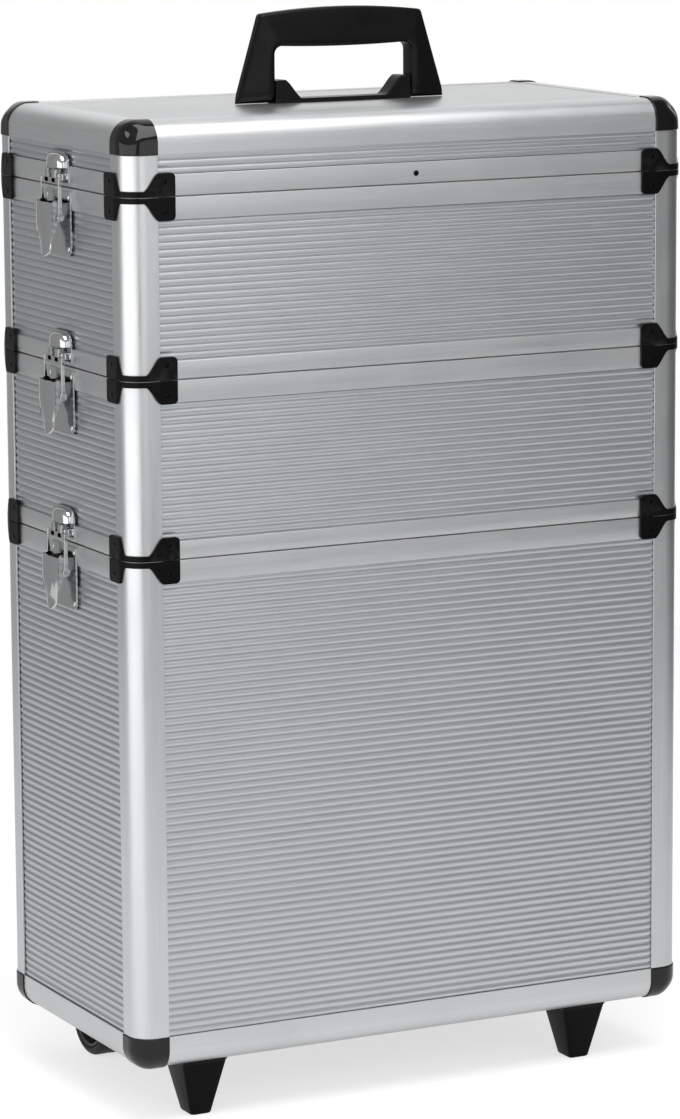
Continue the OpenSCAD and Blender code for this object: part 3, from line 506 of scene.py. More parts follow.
# The same wall standing on the case's side: depth runs along X and length along Y.
def turned(part):
    return placed(part, (0, caseY, 0), order=(1, 0, 2))


ribbedX = ribbedMetal("ribbedWide", 0.55, 0.36, "X", halfDepth, panelShape)
# The narrow sides' sheet is the same metal set a little darker than the wide sides': painted shade.
ribbedY = ribbedMetal("ribbedNarrow", 0.53, 0.36, "Y", halfWidth, panelShape)
wallKinds = {"wide": (halfWidth, frontY, ribbedX), "narrow": (halfDepth, -halfWidth, ribbedY)}
for tier in seamsOf:
    for kind, (half, wallAt, metal) in wallKinds.items():
        node = f"{tier}_{kind}_panels"
        panel = ribbedPanel(lowOf(node)[2], highOf(node)[2], half - panelShape["edge"], wallAt, panelShape)
        panel = twoSides(turned(panel)) if kind == "narrow" else frontAndBack(panel)
        makePiece(f"{tier}{kind.title()}Panels", panel, bodyOf(tier), metal, [node],
                  smooth=60)
print("panels made")


# Rounded posts, edge profiles and closing rails

profileShape = {
    "leg": 25.4,
    "lidLeg": 23.8,      # height of the lid's edge profile
    "round": 16,
    "skin": 1.4,
    "slot": 4.2,
    "slotDeep": 9,
    "inner": 1.2,        # wall behind the slot
    "gap": 0.1,          # between the end of a bar and the corner post
    "edge": 0.28,        # rounding of every edge
    "wheelRoom": 3.5,    # beside each wheel, where the rear profile is cut
}
edge = profileShape["edge"]
railSpan = profileShape["leg"] + profileShape["gap"]
slotEnd = profileShape["skin"] + profileShape["slot"]
innerEnd = slotEnd + profileShape["inner"]


# Two legs at a right angle with a rounded outside and a slot for a panel in each end.
def profileSection(high, p):
    leg, r, skinEnd = p["leg"], p["round"], p["skin"]
    start, highStart = leg - p["slotDeep"], high - p["slotDeep"]
    return outline(
        [leg, 0], arc(r, r, r, 270, 180, 17), [0, high],
        [skinEnd, high], [skinEnd, highStart], [slotEnd, highStart], [slotEnd, high], [innerEnd, high],
        [innerEnd, innerEnd],
        [leg, innerEnd], [leg, slotEnd], [start, slotEnd], [start, skinEnd], [leg, skinEnd],
    )


# The section carried up the four corners.
def cornerPosts(low, high, p):
    section = profileSection(p["leg"], p)
    return fourCorners(prism(section, (-halfWidth, frontY, low), xAxis, yAxis, zAxis, high - low))


railShape = {
    "deep": 12,
    "gap": 1.1,          # open joint that shows between two rails
    "gapDeep": 4,
    "crown": 0.45,       # how far the outside falls back at its edges
    "tongueFrom": 5,     # depths of its two faces
    "tongueTo": 7,
    "tongueHigh": 3,
    "play": 0.4,
    "slotBite": 8,       # depth of the slot for the panel above
    "ledge": 8.6,
    "below": 16.6,       # height of the rail under a seam
    "web": 7.6,
    "above": 13.2,       # height of the rail on a seam
    "lid": 15.7,         # the same for the lid's own rail
}


# Outside of a rail between two heights: flat in the middle, and falling back with the square of the
# distance from it.
def railFace(low, high, p):
    t = np.linspace(0, 1, 9)
    return np.stack([p["crown"] * (2 * t - 1) ** 2, low + (high - low) * t], 1)


# Rail hung under a seam: an open joint on top, a tongue, and a slot that holds the panel below.
def railBelowSection(p):
    joint, web, low, skinEnd = -p["gap"] / 2, -p["web"], -p["below"], profileShape["skin"]
    left, right = p["tongueFrom"], p["tongueTo"]
    return outline(
        railFace(low, joint, p), [p["gapDeep"], joint], [p["gapDeep"], 0],
        [left, 0], [left, p["tongueHigh"]], [right, p["tongueHigh"]], [right, 0], [p["deep"], 0],
        [p["deep"], web], [innerEnd, web], [innerEnd, low],
        [slotEnd, low], [slotEnd, web], [skinEnd, web], [skinEnd, low],
    )


# Rail standing on a seam: an open joint under it, a groove for the tongue, and a slot for the panel above.
def railAboveSection(high, p):
    joint, bite, skinEnd = p["gap"] / 2, high - p["slotBite"], profileShape["skin"]
    left, right = p["tongueFrom"] - p["play"], p["tongueTo"] + p["play"]
    grooveTop = p["tongueHigh"] + p["play"]
    return outline(
        [p["gapDeep"], 0], [p["gapDeep"], joint], railFace(joint, high, p),
        [skinEnd, high], [skinEnd, bite], [slotEnd, bite], [slotEnd, high], [innerEnd, high],
        [innerEnd, p["ledge"]], [p["deep"], p["ledge"]], [p["deep"], 0],
        [right, 0], [right, grooveTop], [left, grooveTop], [left, 0],
    )


# The section along the front and the back.
def wideBars(section, level, up=1):
    length = 2 * (halfWidth - railSpan)
    return frontAndBack(prism(section, (-length / 2, frontY, level), yAxis, up * zAxis, xAxis, length))


# The section along both narrow sides.
def narrowBars(section, level, up=1):
    length = 2 * (halfDepth - railSpan)
    return twoSides(prism(section, (-halfWidth, caseY - length / 2, level), xAxis, up * zAxis, yAxis, length))


# A piece of profile or rail, with its edges rounded.
def makeProfile(name, part, body, metal, replaced=()):
    makePiece(name, part, body, metal, replaced, bevel=edge)


for tier, (foot, head) in seamsOf.items():
    node = tier + "_corner_posts"
    posts = cornerPosts(lowOf(node)[2], highOf(node)[2], profileShape)
    makeProfile(tier + "Posts", posts, bodyOf(tier), metalZ, [node])
    rails = []
    if foot is not None:
        rails.append((railAboveSection(railShape["lid" if tier == "lid" else "above"], railShape), foot))
    if head is not None:
        rails.append((railBelowSection(railShape), head))
    wide = together([wideBars(*rail) for rail in rails])
    makeProfile(tier + "WideRails", wide, bodyOf(tier), metalX, [tier + "_rails"])
    makeProfile(tier + "NarrowRails", together([narrowBars(*rail) for rail in rails]), bodyOf(tier), metalY)

section = profileSection(profileShape["lidLeg"], profileShape)
makeProfile("lidWideEdges", wideBars(section, topLevel, -1), "lid", metalX, ["lid_edge_profiles"])
makeProfile("lidNarrowEdges", narrowBars(section, topLevel, -1), "lid", metalY)

section = profileSection(profileShape["leg"], profileShape)
wheelLow, wheelHigh = lowOf("right_wheel"), highOf("right_wheel")
wheelAt = (wheelLow + wheelHigh) / 2
wellHalf = (wheelHigh[0] - wheelLow[0]) / 2 + profileShape["wheelRoom"]
bars = [
    prism(section, (start, place, baseLevel), inwards * yAxis, zAxis, xAxis, end - start)
    for place, inwards, start, end in (
        (frontY, 1, -halfWidth + railSpan, halfWidth - railSpan),
        (caseY + halfDepth, -1, -halfWidth + railSpan, -wheelAt[0] - wellHalf),
        (caseY + halfDepth, -1, -wheelAt[0] + wellHalf, wheelAt[0] - wellHalf),
        (caseY + halfDepth, -1, wheelAt[0] + wellHalf, halfWidth - railSpan),
    )
]
makeProfile("lowerWideEdges", together(bars), "lower_case", metalX, ["lower_edge_profiles"])
makeProfile("lowerNarrowEdges", narrowBars(section, baseLevel), "lower_case", metalY)
print("profiles made")


# Corner caps

capShape = {"proud": 1.0, "wall": 2.2, "edge": 0.7, "steps": 14, "lidFuller": 4.0, "lowerFuller": 1.0}


# A shape made at the origin, set at the front left corner, upright or upside down.
def atCorner(part, level, up):
    return placed(part, (-halfWidth, frontY, level), (1, 1, up))


# Three faces of a cube's corner, each point pushed out from a rounded core so that the faces run together.
# The rounding radius is that of the profiles at the three rims and grows smoothly towards the corner.
def cornerCap(high, fuller, p):
    start = -p["proud"]
    r = profileShape["round"] + p["proud"]
    centre = start + r
    bend = centre - r * np.tan(anglesFrom(45, 0, p["steps"]))
    ends = np.array([profileShape["leg"], profileShape["leg"], high])
    lines = [np.concatenate([bend, np.linspace(centre, end, 6)[1:]]) for end in ends]
    parts = []
    for axis in range(3):
        u, v = [lines[k] for k in range(3) if k != axis]
        points = np.insert(np.stack(np.meshgrid(u, v, indexing="ij"), -1), axis, start, axis=-1)
        inwards = (ends - points) / (ends - start)
        share = np.prod(eased(inwards), axis=-1, keepdims=True)
        radius = r + fuller * share
        parts.append(skin(pushedOut(points, np.maximum(points, start + radius), radius)))
    return together(parts)


for tier, level, up, high in (
    ("lid", topLevel, -1, profileShape["lidLeg"]),
    ("lower", baseLevel, 1, profileShape["leg"]),
):
    cap = atCorner(cornerCap(high, capShape[tier + "Fuller"], capShape), level, up)
    makePiece(tier + "Caps", fourCorners(cap), bodyOf(tier), capBlack, [tier + "_corner_caps"],
              bevel=capShape["edge"], segments=3, wall=capShape["wall"], smooth=50)


# Corner brackets

bracketShape = {
    "front": (38, 13, 11),     # reach from the corner, width of the plate and of its slope
    "side": (34, 16.5, 6),
    "high": 17,
    "neck": 4.4,
    "thick": 1.9,
    "neckThick": 1.2,
    "corner": 3.4,
    "seamGap": 0.35,
    "edge": 0.7,
    "rivetIn": 8.5,
    "rivetUp": 11,
    "rivet": (2.0, 0.45),      # radius and height
}


# Place for a distance s along the outside, measured from the corner's middle, and a height h above it.
# Front is the positive side. The round stretch is an arc, and what is left over runs on straight.
def roundTheCorner(s, h):
    r = profileShape["round"]
    arcHalf = r * np.pi / 4
    angle = np.clip(s / r, -np.pi / 4, np.pi / 4) + np.pi * 1.25
    x = r + (r + h) * np.cos(angle) + np.maximum(s - arcHalf, 0)
    y = r + (r + h) * np.sin(angle) + np.maximum(-s - arcHalf, 0)
    return x, y


# Height and thickness of one leg at a distance a from the corner: a low thin neck, an S-shaped rise
# over the slope, and a full plate whose outer corner is a quarter circle.
def bracketLeg(a, leg, p):
    reach, plateWide, slope = leg
    t = np.clip((a - (reach - plateWide - slope)) / slope, 0, 1)
    rise = 0.35 * t + 0.65 * eased(t)
    height = p["neck"] + (p["high"] - p["neck"]) * rise
    over = np.clip(a - (reach - p["corner"]), 0, p["corner"])
    drop = p["corner"] - np.sqrt(np.maximum(p["corner"] ** 2 - over ** 2, 0))
    return height - drop, p["neckThick"] + (p["thick"] - p["neckThick"]) * t


# A band round the corner, one leg on each face, whose outer skin stands off by the moulding's thickness.
def bracketBand(p):
    r = profileShape["round"]
    arcHalf = r * np.pi / 4
    legs = []
    for leg, sign in ((p["side"], -1), (p["front"], 1)):
        flatEnd = leg[0] - r + arcHalf - p["corner"]
        bend = flatEnd + p["corner"] * np.sin(anglesFrom(9, 90, 10))
        s = np.concatenate([np.linspace(0, flatEnd, 34), bend])
        high, thick = bracketLeg(np.maximum(s - arcHalf, 0) + r - np.maximum(arcHalf - s, 0), leg, p)
        legs.append(np.stack([sign * s, high, thick]))
    s, high, thick = np.concatenate([legs[0][:, :0:-1], legs[1]], 1)
    low = np.full_like(s, p["seamGap"])
    skins = ((0 * s, low), (thick, low), (thick, high), (0 * s, high))
    return tube(np.stack([np.stack([*roundTheCorner(s, h), z], -1) for h, z in skins], 1))


# The band at one seam on all four corners, and its rivets, one on each face.
def bracketRing(level, up, p):
    z = level + up * p["rivetUp"]
    rivets = together([
        dome((-halfWidth + p["front"][0] - p["rivetIn"], frontY - p["thick"], z), (0, -1, 0), *p["rivet"]),
        dome((-halfWidth - p["thick"], frontY + p["side"][0] - p["rivetIn"], z), (-1, 0, 0), *p["rivet"]),
    ])
    return fourCorners(atCorner(bracketBand(p), level, up)), fourCorners(rivets)


for tier, (foot, head) in seamsOf.items():
    made = [bracketRing(seam, up, bracketShape) for seam, up in ((foot, 1), (head, -1)) if seam]
    bands, rivets = zip(*made)
    makePiece(tier + "Brackets", together(bands), bodyOf(tier), satinBlack,
              [tier + "_brackets"], bevel=bracketShape["edge"], segments=3, smooth=45)
    makePiece(tier + "BracketRivets", together(rivets), bodyOf(tier), glossBlack, smooth=60)
print("caps and brackets made")


# Lid top and its stud

topSheet = {"edge": 16.7, "depth": 0.35, "thick": 4, "round": 0.3}
studShape = {"right": 2, "aboveSeam": 7.6, "r": 2.1, "high": 0.9}
x, y = halfWidth - topSheet["edge"], halfDepth - topSheet["edge"]
top = topLevel - topSheet["depth"]
sheet = roundedBox((-x, caseY - y, top - topSheet["thick"]), (x, caseY + y, top), topSheet["round"], 2)
makePiece("lidTopSheet", sheet, "lid", metalTop, ["lid_top_panel"])
studAt = (studShape["right"], frontY, seamTop + studShape["aboveSeam"])
stud = dome(studAt, (0, -1, 0), studShape["r"], studShape["high"])
makePiece("lidStud", stud, "lid", glossBlack, smooth=60)


# Carry handle

gripShape = {
    "foot": 87,              # half width at the foot, and at the shoulder
    "shoulder": 67,
    "high": 70,
    "arch": 4,
    "gap": 57,               # half width of the finger opening
    "bar": 28,
    "thick": 18,
    "edgeThick": 10,
    "gapCorner": 6,
    "shoulderRound": 3.2,
    "lift": 0.12,            # how high the foot stands over the lid
    "sag": 1.2,
    "ridge": 0.16,           # where the full thickness ends, as a share of the way outwards
    "ridgeOff": (3, 2, 0.12),   # how far outwards and inwards the ridge is rounded, and by how much
    "edgeRound": 2.6,
    "gapRound": 3.4,
}


# Pairs of inner and outer points up one leg, round the shoulder and along the bar, with half the
# thickness at each. The foot is rounded about the pivot: its half thickness is a circle's half chord.
def handleRings(p):
    half, corner = p["thick"] / 2, p["gapCorner"]
    pivot = half + p["lift"]
    shoulderHigh, under = p["high"] - p["arch"], p["high"] - p["bar"]

    # The straight outer line of the leg.
    def outer(z):
        return np.stack([p["foot"] + (p["shoulder"] - p["foot"]) * z / shoulderHigh, z], 1)

    footAngles = anglesFrom(4, 90, 8)
    legZ = np.linspace(pivot, under - corner, 8)[1:]
    z = np.concatenate([pivot - half * np.cos(footAngles), legZ])
    innerTurn = arc(p["gap"] - corner, under - corner, corner, 0, 90, 11)[1:]

    legNormal = degrees(atan2(p["foot"] - p["shoulder"], shoulderHigh))
    barNormal = 90 - degrees(atan2(2 * p["arch"], p["shoulder"]))
    between = radians((legNormal + barNormal) / 2)
    back = p["shoulderRound"] / cos(radians((barNormal - legNormal) / 2))
    centre = (p["shoulder"] - back * cos(between), shoulderHigh - back * sin(between))
    outerTurn = arc(*centre, p["shoulderRound"], legNormal, barNormal, 6)
    sideZ = np.linspace(legZ[-1], outerTurn[0, 1], 6)[1:-1]

    barX = np.linspace(innerTurn[-1, 0], 0, 12)[1:]
    share = barX / innerTurn[-1, 0]
    endX, endZ = outerTurn[-1]
    topLine = np.stack([endX * share, endZ + (p["high"] - endZ) * (1 - share ** 2)], 1)
    underLine = np.stack([barX, under - p["sag"] * (1 - share ** 2)], 1)
    inner = outline(np.stack([np.full(len(z), p["gap"]), z], 1), innerTurn, underLine)
    outside = outline(outer(z), outer(sideZ), outerTurn, topLine)
    halves = np.full(len(inner), half)
    halves[:len(footAngles)] = half * np.sin(footAngles)
    return bothHalves(inner, shared=1), bothHalves(outside, shared=1), bothHalves(halves, 1, 1)


# Section across each pair of points: full thickness at the finger opening as far as the ridge, then
# thinner in a straight line to the outer edge, with an arc at each of the four corners.
def handleSection(inner, outside, halves, p):
    reach = np.linalg.norm(outside - inner, axis=1)[:, None]
    direction = (outside - inner) / reach
    full = halves[:, None]
    edgeHalf = full * p["edgeThick"] / p["thick"]
    edgeR = np.minimum(p["edgeRound"], edgeHalf * 0.8)
    gapR = np.minimum(p["gapRound"], full * 0.6)
    edgeTurn = anglesFrom(0, 82, 6)
    gapTurn = anglesFrom(92, 180, 6)
    ridge = p["ridge"] * reach + gapR
    slope = (full - edgeHalf) / (reach - ridge)
    outwards, inwards, drop = p["ridgeOff"]
    u = np.concatenate([
        reach - edgeR + edgeR * np.cos(edgeTurn), ridge + outwards, ridge, ridge - inwards,
        gapR + gapR * np.cos(gapTurn),
    ], 1)
    v = np.concatenate([
        edgeHalf - edgeR + edgeR * np.sin(edgeTurn), full - slope * outwards, full - drop, full,
        full - gapR + gapR * np.sin(gapTurn),
    ], 1)
    u = np.concatenate([u, u[:, ::-1]], 1)
    v = np.concatenate([v, -v[:, ::-1]], 1)
    x, z = inner[:, :1] + u * direction[:, :1], inner[:, 1:] + u * direction[:, 1:]
    return np.stack([x, caseY + v, topLevel + z], -1)


handle = tube(handleSection(*handleRings(gripShape), gripShape))
makePiece("carryHandle", handle, "carry_handle", handleBlack, ["handle_grip"], smooth=50)

baseShape = {
    "half": 56.5,
    "lug": 8.5,
    "slope": 13,
    "low": 3,
    "high": 17,
    "deep": 15,
    "sunk": 0.35,
    "round": 2,
    "edge": 0.9,
}


# Side view of the base: a low plate that sweeps up to a lug at each end along a smooth S.
def handleBase(p):
    t = np.linspace(0, 1, 10)
    rise = 0.6 * t + 0.4 * eased(t)
    sweep = np.stack([p["half"] - p["lug"] - p["slope"] * t, p["high"] - (p["high"] - p["low"]) * rise], 1)
    lug = arc(p["half"] - p["round"], p["high"] - p["round"], p["round"], 0, 90, 5)
    section = bothHalves(outline([p["half"], -p["sunk"]], lug, sweep))
    return prism(section, (0, caseY - p["deep"] / 2, topLevel), xAxis, zAxis, yAxis, p["deep"])


makePiece("handleBase", handleBase(baseShape), "lid", handleBlack, ["handle_base"],
          bevel=baseShape["edge"], segments=3, smooth=45)
print("carry handle made")


# Latches: shapes in their own frame, with u outwards from the case, v along the wall and w up from the seam

latchShape = {
    "thick": 1.2,
    "play": 0.3,
    "pin": 1.5,                # radius of the pins
    "baseHalf": 22.5,
    "baseTop": -3,
    "baseLow": -50,
    "baseCorner": 6,
    "baseRivet": (1.9, 0.9),   # radius and height
    "baseRivetIn": 3.6,        # from the side, the foot and the top of the base
    "baseRivetUp": 5,
    "baseRivetDown": 4.2,
    "ear": 3.8,
    "pad": (8, 12),            # width and height
    "padDeep": 1.5,
    "pivot": (7.5, -13),       # out from the wall, and up from the seam
    "crank": 9.2,              # from the pivot to the hook's pin
    "past": 8,                 # degrees past the middle when closed
    "leverHalf": 14.7,
    "leverOut": 11.7,
    "leverTop": -11,
    "leverTail": -51,
    "tailRound": 10,
    "tailLip": 1.8,
    "roll": 0.9,
    "crown": 0.8,
    "ridge": 0.5,
    "hookThick": 2,
    "hookEye": 2.8,
    "hookTop": 7,
    "claw": 3,
    "keeperHalf": 20,
    "keeperLow": 3,
    "keeperTop": 25.5,
    "keeperCorner": 10,
    "keeperRivet": (1.7, 0.8),
    "keeperRivetAt": (2.6, 7),       # in from the side, and up from the seam
    "keeperPad": (8, 16.7, 23.5),    # half width, bottom and top
    "noseHalf": 11,
    "noseUp": 9.5,
    "noseOut": 5.2,
    "hoodLow": 14.1,
    "hoodHigh": 10.6,
    "hoodHalf": 14,
    "hoodOut": 6.0,
}


# A flat outline in v and w, thickened outwards.
def plate(section, thick):
    return prism(section, (0, 0, 0), yAxis, zAxis, xAxis, thick)


# A flat outline in u and w, thickened along the wall about its middle.
def cheek(section, middle, thick):
    return prism(section, (0, middle - thick / 2, 0), xAxis, zAxis, yAxis, thick)


# A pin along the wall.
def rod(u, w, start, end, r):
    return prism(arc(u, w, r, 0, 342, 20), (0, start, 0), xAxis, zAxis, yAxis, end - start)


# A wall plate with rounded lower corners, two ears, the pivot pin's ends and four rivets.
def latchBase(p):
    c, half, thick = p["baseCorner"], p["baseHalf"], p["thick"]
    low = p["baseLow"] + c
    parts = [plate(outline(
        [half, p["baseTop"]], [-half, p["baseTop"]],
        arc(-half + c, low, c, 180, 270, 7), arc(half - c, low, c, 270, 360, 7),
    ), thick)]
    ear = p["leverHalf"] - 2 * thick - p["play"]
    pivot = p["pivot"]
    side = outline(
        [thick / 2, pivot[1] + 1.2], arc(*pivot, p["ear"], 161, -90, 18),
        [thick / 2, pivot[1] - 2.5 * p["ear"]],
    )
    for s in (-1, 1):
        parts.append(cheek(side, s * (ear + thick / 2), thick))
        parts.append(rod(*pivot, s * ear, s * (p["leverHalf"] + 0.1), p["pin"]))
        for w in (p["baseLow"] + p["baseRivetUp"], p["baseTop"] - p["baseRivetDown"]):
            parts.append(dome((thick, s * (half - p["baseRivetIn"]), w), (1, 0, 0), *p["baseRivet"]))
    return together(parts)


# Blocks that carry the base across the recessed ribs.
def latchPads(p):
    low, out = p["baseLow"] + 6, p["baseHalf"] - 6
    wide, high = p["pad"]
    return together([
        roundedBox((-p["padDeep"], v - wide / 2, low), (p["thick"] / 2, v + wide / 2, low + high), 0.2, 1)
        for v in (-out, out)
    ])


# Height of the lever's cover above the wall: a long crown that turns outwards at its tail.
def leverLine(w, p):
    t = (w - p["leverTop"]) / (p["leverTail"] - p["leverTop"])
    lip = p["tailLip"] * (np.maximum(0, t - 0.75) / 0.25) ** 2
    return p["leverOut"] + p["crown"] * np.sin(np.pi * t) - p["tailLip"] * t + lip


# Half width of the cover: full at the flanges, drawn in to a round tail.
def leverHalfWidth(w, p):
    past = w - p["leverTail"] - p["tailRound"]
    wide = p["tailRound"] + (p["leverHalf"] - p["tailRound"]) * np.clip(past / 12, 0, 1) ** 0.9
    inTail = np.sqrt(np.maximum(p["tailRound"] ** 2 - np.minimum(past, 0) ** 2, 0))
    return np.where(past < 0, inTail, wide)


# Place of the hook's pin: the crank's length from the pivot, turned past straight down.
def hookPin(p):
    past = radians(p["past"])
    return p["pivot"][0] - p["crank"] * sin(past), p["pivot"][1] - p["crank"] * cos(past)


# The cover as a grid of rows down its length, its edges rolled inwards, a shallow groove near each
# edge, and two flanges.
def latchLever(p):
    tail = p["leverTail"] + p["tailRound"]
    tailTurn = tail - p["tailRound"] * np.sin(anglesFrom(0, 88, 12))
    w = np.concatenate([np.linspace(p["leverTop"], tail, 24)[:-1], tailTurn])[:, None]
    across = np.sin(anglesFrom(-90, 90, 15))
    fade = np.clip((w - p["leverTail"]) / 14, 0, 1)
    groove = p["ridge"] * np.exp(-((np.abs(across) - 0.55) / 0.10) ** 2) * fade
    inner = leverLine(w, p) + 0 * across
    rise = p["thick"] - p["roll"] * np.abs(across) ** 6 + p["crown"] * (1 - across ** 2) * 0.6 - groove
    v, height = leverHalfWidth(w, p) * across, w + 0 * across
    outside, inside = np.stack([inner + rise, v, height], -1), np.stack([inner, v, height], -1)
    parts = [tube(np.concatenate([outside, inside[:, ::-1]], 1))]
    pin = hookPin(p)
    side = outline(
        [p["leverOut"] + 0.6, p["leverTop"]], arc(*p["pivot"], 3.2, 90, 215, 10),
        arc(*pin, p["hookEye"], 190, 290, 8), [p["leverOut"] + 0.2, -38], [p["leverOut"] + 1.0, -25],
    )
    for s in (-1, 1):
        parts.append(cheek(side, s * (p["leverHalf"] - p["thick"] / 2), p["thick"]))
        parts.append(rod(*pin, s * p["leverHalf"], s * (p["leverHalf"] + 2), p["pin"]))
    return together(parts)


# Two legs from the lever's pins, a cross plate and two claws over the keeper's nose.
def latchHook(p):
    u, w = hookPin(p)
    inner, thick = p["leverHalf"] + p["play"], p["hookThick"]
    under, claw, top = p["noseUp"] + 0.4, p["claw"], p["hookTop"]
    side = outline(
        arc(u, w, p["hookEye"], 150, 390, 16), [u + 1.4, w + 4],
        [7.7, top - 1], [7.2, top], [5.4, top], [u - 1.4, w + 4],
    )
    curl = outline(
        [5.6, 3], [7.1, 3], arc(5.5, under + 1.4, 1.6, 0, 90, 8), [4.2, under + claw],
        arc(4.2, under + claw / 2, claw / 2, 90, 180, 5), [3.4, under], [5.6, under],
    )
    parts = [cheek(side, s * (inner + thick / 2), thick) for s in (-1, 1)]
    parts.append(roundedBox((5.6, -inner - thick, 2), (7.1, inner + thick, top), 0.55, 3))
    return together(parts + [cheek(curl, s * 6.25, 6.5) for s in (-1, 1)])


# A wall plate with a nose under the claws, a pad on its back and a domed hood above them. Over the hood
# the two angles of a quarter sphere run, and powers of their sines and cosines flatten it.
def latchKeeper(p):
    corner, half, nose, thick = p["keeperCorner"], p["keeperHalf"], p["noseHalf"], p["thick"]
    top = p["keeperTop"] - corner
    padHalf, padLow, padTop = p["keeperPad"]
    rivetIn, rivetUp = p["keeperRivetAt"]
    edgeLine = outline(
        [-half, p["keeperLow"]], [half, p["keeperLow"]],
        arc(half - corner, top, corner, 0, 90, 10), arc(-half + corner, top, corner, 90, 180, 10),
    )
    parts = [
        plate(edgeLine, thick),
        roundedBox((thick / 2, -nose, p["noseUp"] - 5), (p["noseOut"], nose, p["noseUp"]), 0.5, 2),
        roundedBox((-p["padDeep"], -padHalf, padLow), (thick / 2, padHalf, padTop), 0.2, 1),
    ]
    parts += [dome((thick, s * (half - rivetIn), rivetUp), (1, 0, 0), *p["keeperRivet"]) for s in (-1, 1)]
    turn, lift = anglesFrom(0, 180, 25)[:, None], anglesFrom(0, 90, 9)
    hood = np.stack([
        p["hoodOut"] * np.sin(lift) ** 0.8 + thick * 0.6 + 0 * turn,
        p["hoodHalf"] * np.sign(np.cos(turn)) * np.abs(np.cos(turn)) ** 0.7 * np.cos(lift) ** 0.7,
        p["hoodLow"] + p["hoodHigh"] * np.sin(turn) ** 0.7 * np.cos(lift) ** 0.5,
    ], -1)
    floor = hood.copy()
    floor[..., 2] = np.where(np.sin(turn) > 0, p["hoodLow"], hood[..., 2])
    return together(parts + [skin(hood), skin(floor)])


# Sets a latch shape on the left or the right wall at a seam.
def onSide(part, side, seam):
    return placed(part, (side * halfWidth, caseY, seam), (side, 1, 1))


# A plated piece of a latch.
def makePressing(name, part, body, node, bevel=0.25, smooth=40):
    makePiece(name, part, body, plated, [node], bevel=bevel, smooth=smooth)


lever, hook, keeper = latchLever(latchShape), latchHook(latchShape), latchKeeper(latchShape)
base = together([latchBase(latchShape), latchPads(latchShape)])
for level, seam, below, above in (
    ("top", seamTop, "upper", "lid"),
    ("middle", seamMid, "middle", "upper"),
    ("bottom", seamLow, "lower", "middle"),
):
    bases, keepers = (together([onSide(part, s, seam) for s in (-1, 1)]) for part in (base, keeper))
    makePressing(below + "LatchBases", bases, bodyOf(below), below + "_latch_bases")
    makePressing(above + "Keepers", keepers, bodyOf(above), above + "_keepers")
    for side, s in (("left", -1), ("right", 1)):
        for kind, part in (("lever", lever), ("hook", hook)):
            name = f"{level}_{side}_{kind}"
            makePressing(level + side.title() + kind.title(), onSide(part, s, seam), name, name, 0.3, 50)
print("latches made")


# Feet

footShape = {
    "topWide": 38,
    "topDeep": 38,
    "baseWide": 17.5,
    "baseDeep": 21,
    "round": 2.4,
    "toe": 1.6,
    "collar": np.array([0, 2.2, 2.8]),   # rings below the case, and the next one at taperFrom
    "taperFrom": 5,
    "grow": np.array([0, 0] + [-0.5] * 6 + [-0.6, -0.8, -1.2, -1.9]),   # at each ring, from the top down
}


# Rounded rectangles that shrink from the case down to the floor, with a small round at the toe.
def footRings(x, y, p):
    toe = arc(0, p["toe"], p["toe"], 200, 270, 4)[:, 1]
    taper = np.linspace(baseLevel - p["taperFrom"], p["toe"], 5)
    z = np.concatenate([baseLevel - p["collar"], taper, toe])
    angles = np.radians(np.concatenate([np.linspace(k, k + 90, 5) for k in (0, 90, 180, 270)]))
    rings = []
    for side, signs, swing in (
        ("Wide", [1, -1, -1, 1], np.cos(angles)),
        ("Deep", [1, 1, -1, -1], np.sin(angles)),
    ):
        low, high = p["base" + side], p["top" + side]
        half = low / 2 + (high - low) / 2 * z / baseLevel + p["grow"]
        rings.append(np.repeat(signs, 5) * (half - p["round"])[:, None] + p["round"] * swing)
    return tube(np.stack([x + rings[0], y + rings[1], z[:, None] + 0 * rings[0]], -1))


footLow, footHigh = lowOf("feet"), highOf("feet")
feet = [
    footRings(x, (footLow[1] + footHigh[1]) / 2, footShape)
    for x in (footLow[0] + footShape["topWide"] / 2, footHigh[0] - footShape["topWide"] / 2)
]
makePiece("frontFeet", together(feet), "lower_case", satinBlack, ["feet"], smooth=42)


# Wheels

wheelShape = {
    "r": 31,
    "half": 13,
    "shoulder": 4.5,
    "tread": 24.5,       # inner radius of the rubber
    "hub": 9.5,
    "bore": 3.05,
    "spokes": 5,
    "spokeHalf": (2.2, 1.6),   # half width at the waist, and what the ends add
    "spokeDeep": (8.5, 1.5),   # half depth at the ends, and what the waist takes off
    "disc": 2,                 # half thickness of the disc between the spokes
    "edge": 0.35,
    "rimIn": np.array([0.1, -0.4, -2.2, -3.4, -3.6, -2.2, -0.4, 0.1]),   # from the rubber's inside
    "rimFrom": np.array([1.6, 0.8, 0.9, 3, 3, 0.9, 0.8, 1.6]),           # from the nearer face
}


# Rubber ring: a slightly crowned running face, round shoulders and a lip where it grips the rim.
def treadProfile(p):
    r, h, t, q = p["r"], p["half"], p["tread"], p["shoulder"]
    return bothHalves(outline(
        [t, -h + 2], [t + 1.2, -h + 0.4], arc(r - q, -h + q, q, 270, 360, 7), [r, -2], [r - 0.35, -1.6],
    ), (1, -1))


# Rim under the rubber: a band with a raised edge on each side.
def rimProfile(p):
    return np.stack([p["tread"] + p["rimIn"], np.repeat([-1, 1], 4) * (p["half"] - p["rimFrom"])], 1)


# Hub: a waisted sleeve round the bore, with its ends chamfered.
def hubProfile(p):
    h, r = p["half"], p["hub"]
    return bothHalves(outline([p["bore"], -h], [r - 3, -h], [r - 2.2, -h + 0.8], [r - 1, -4]), (1, -1))


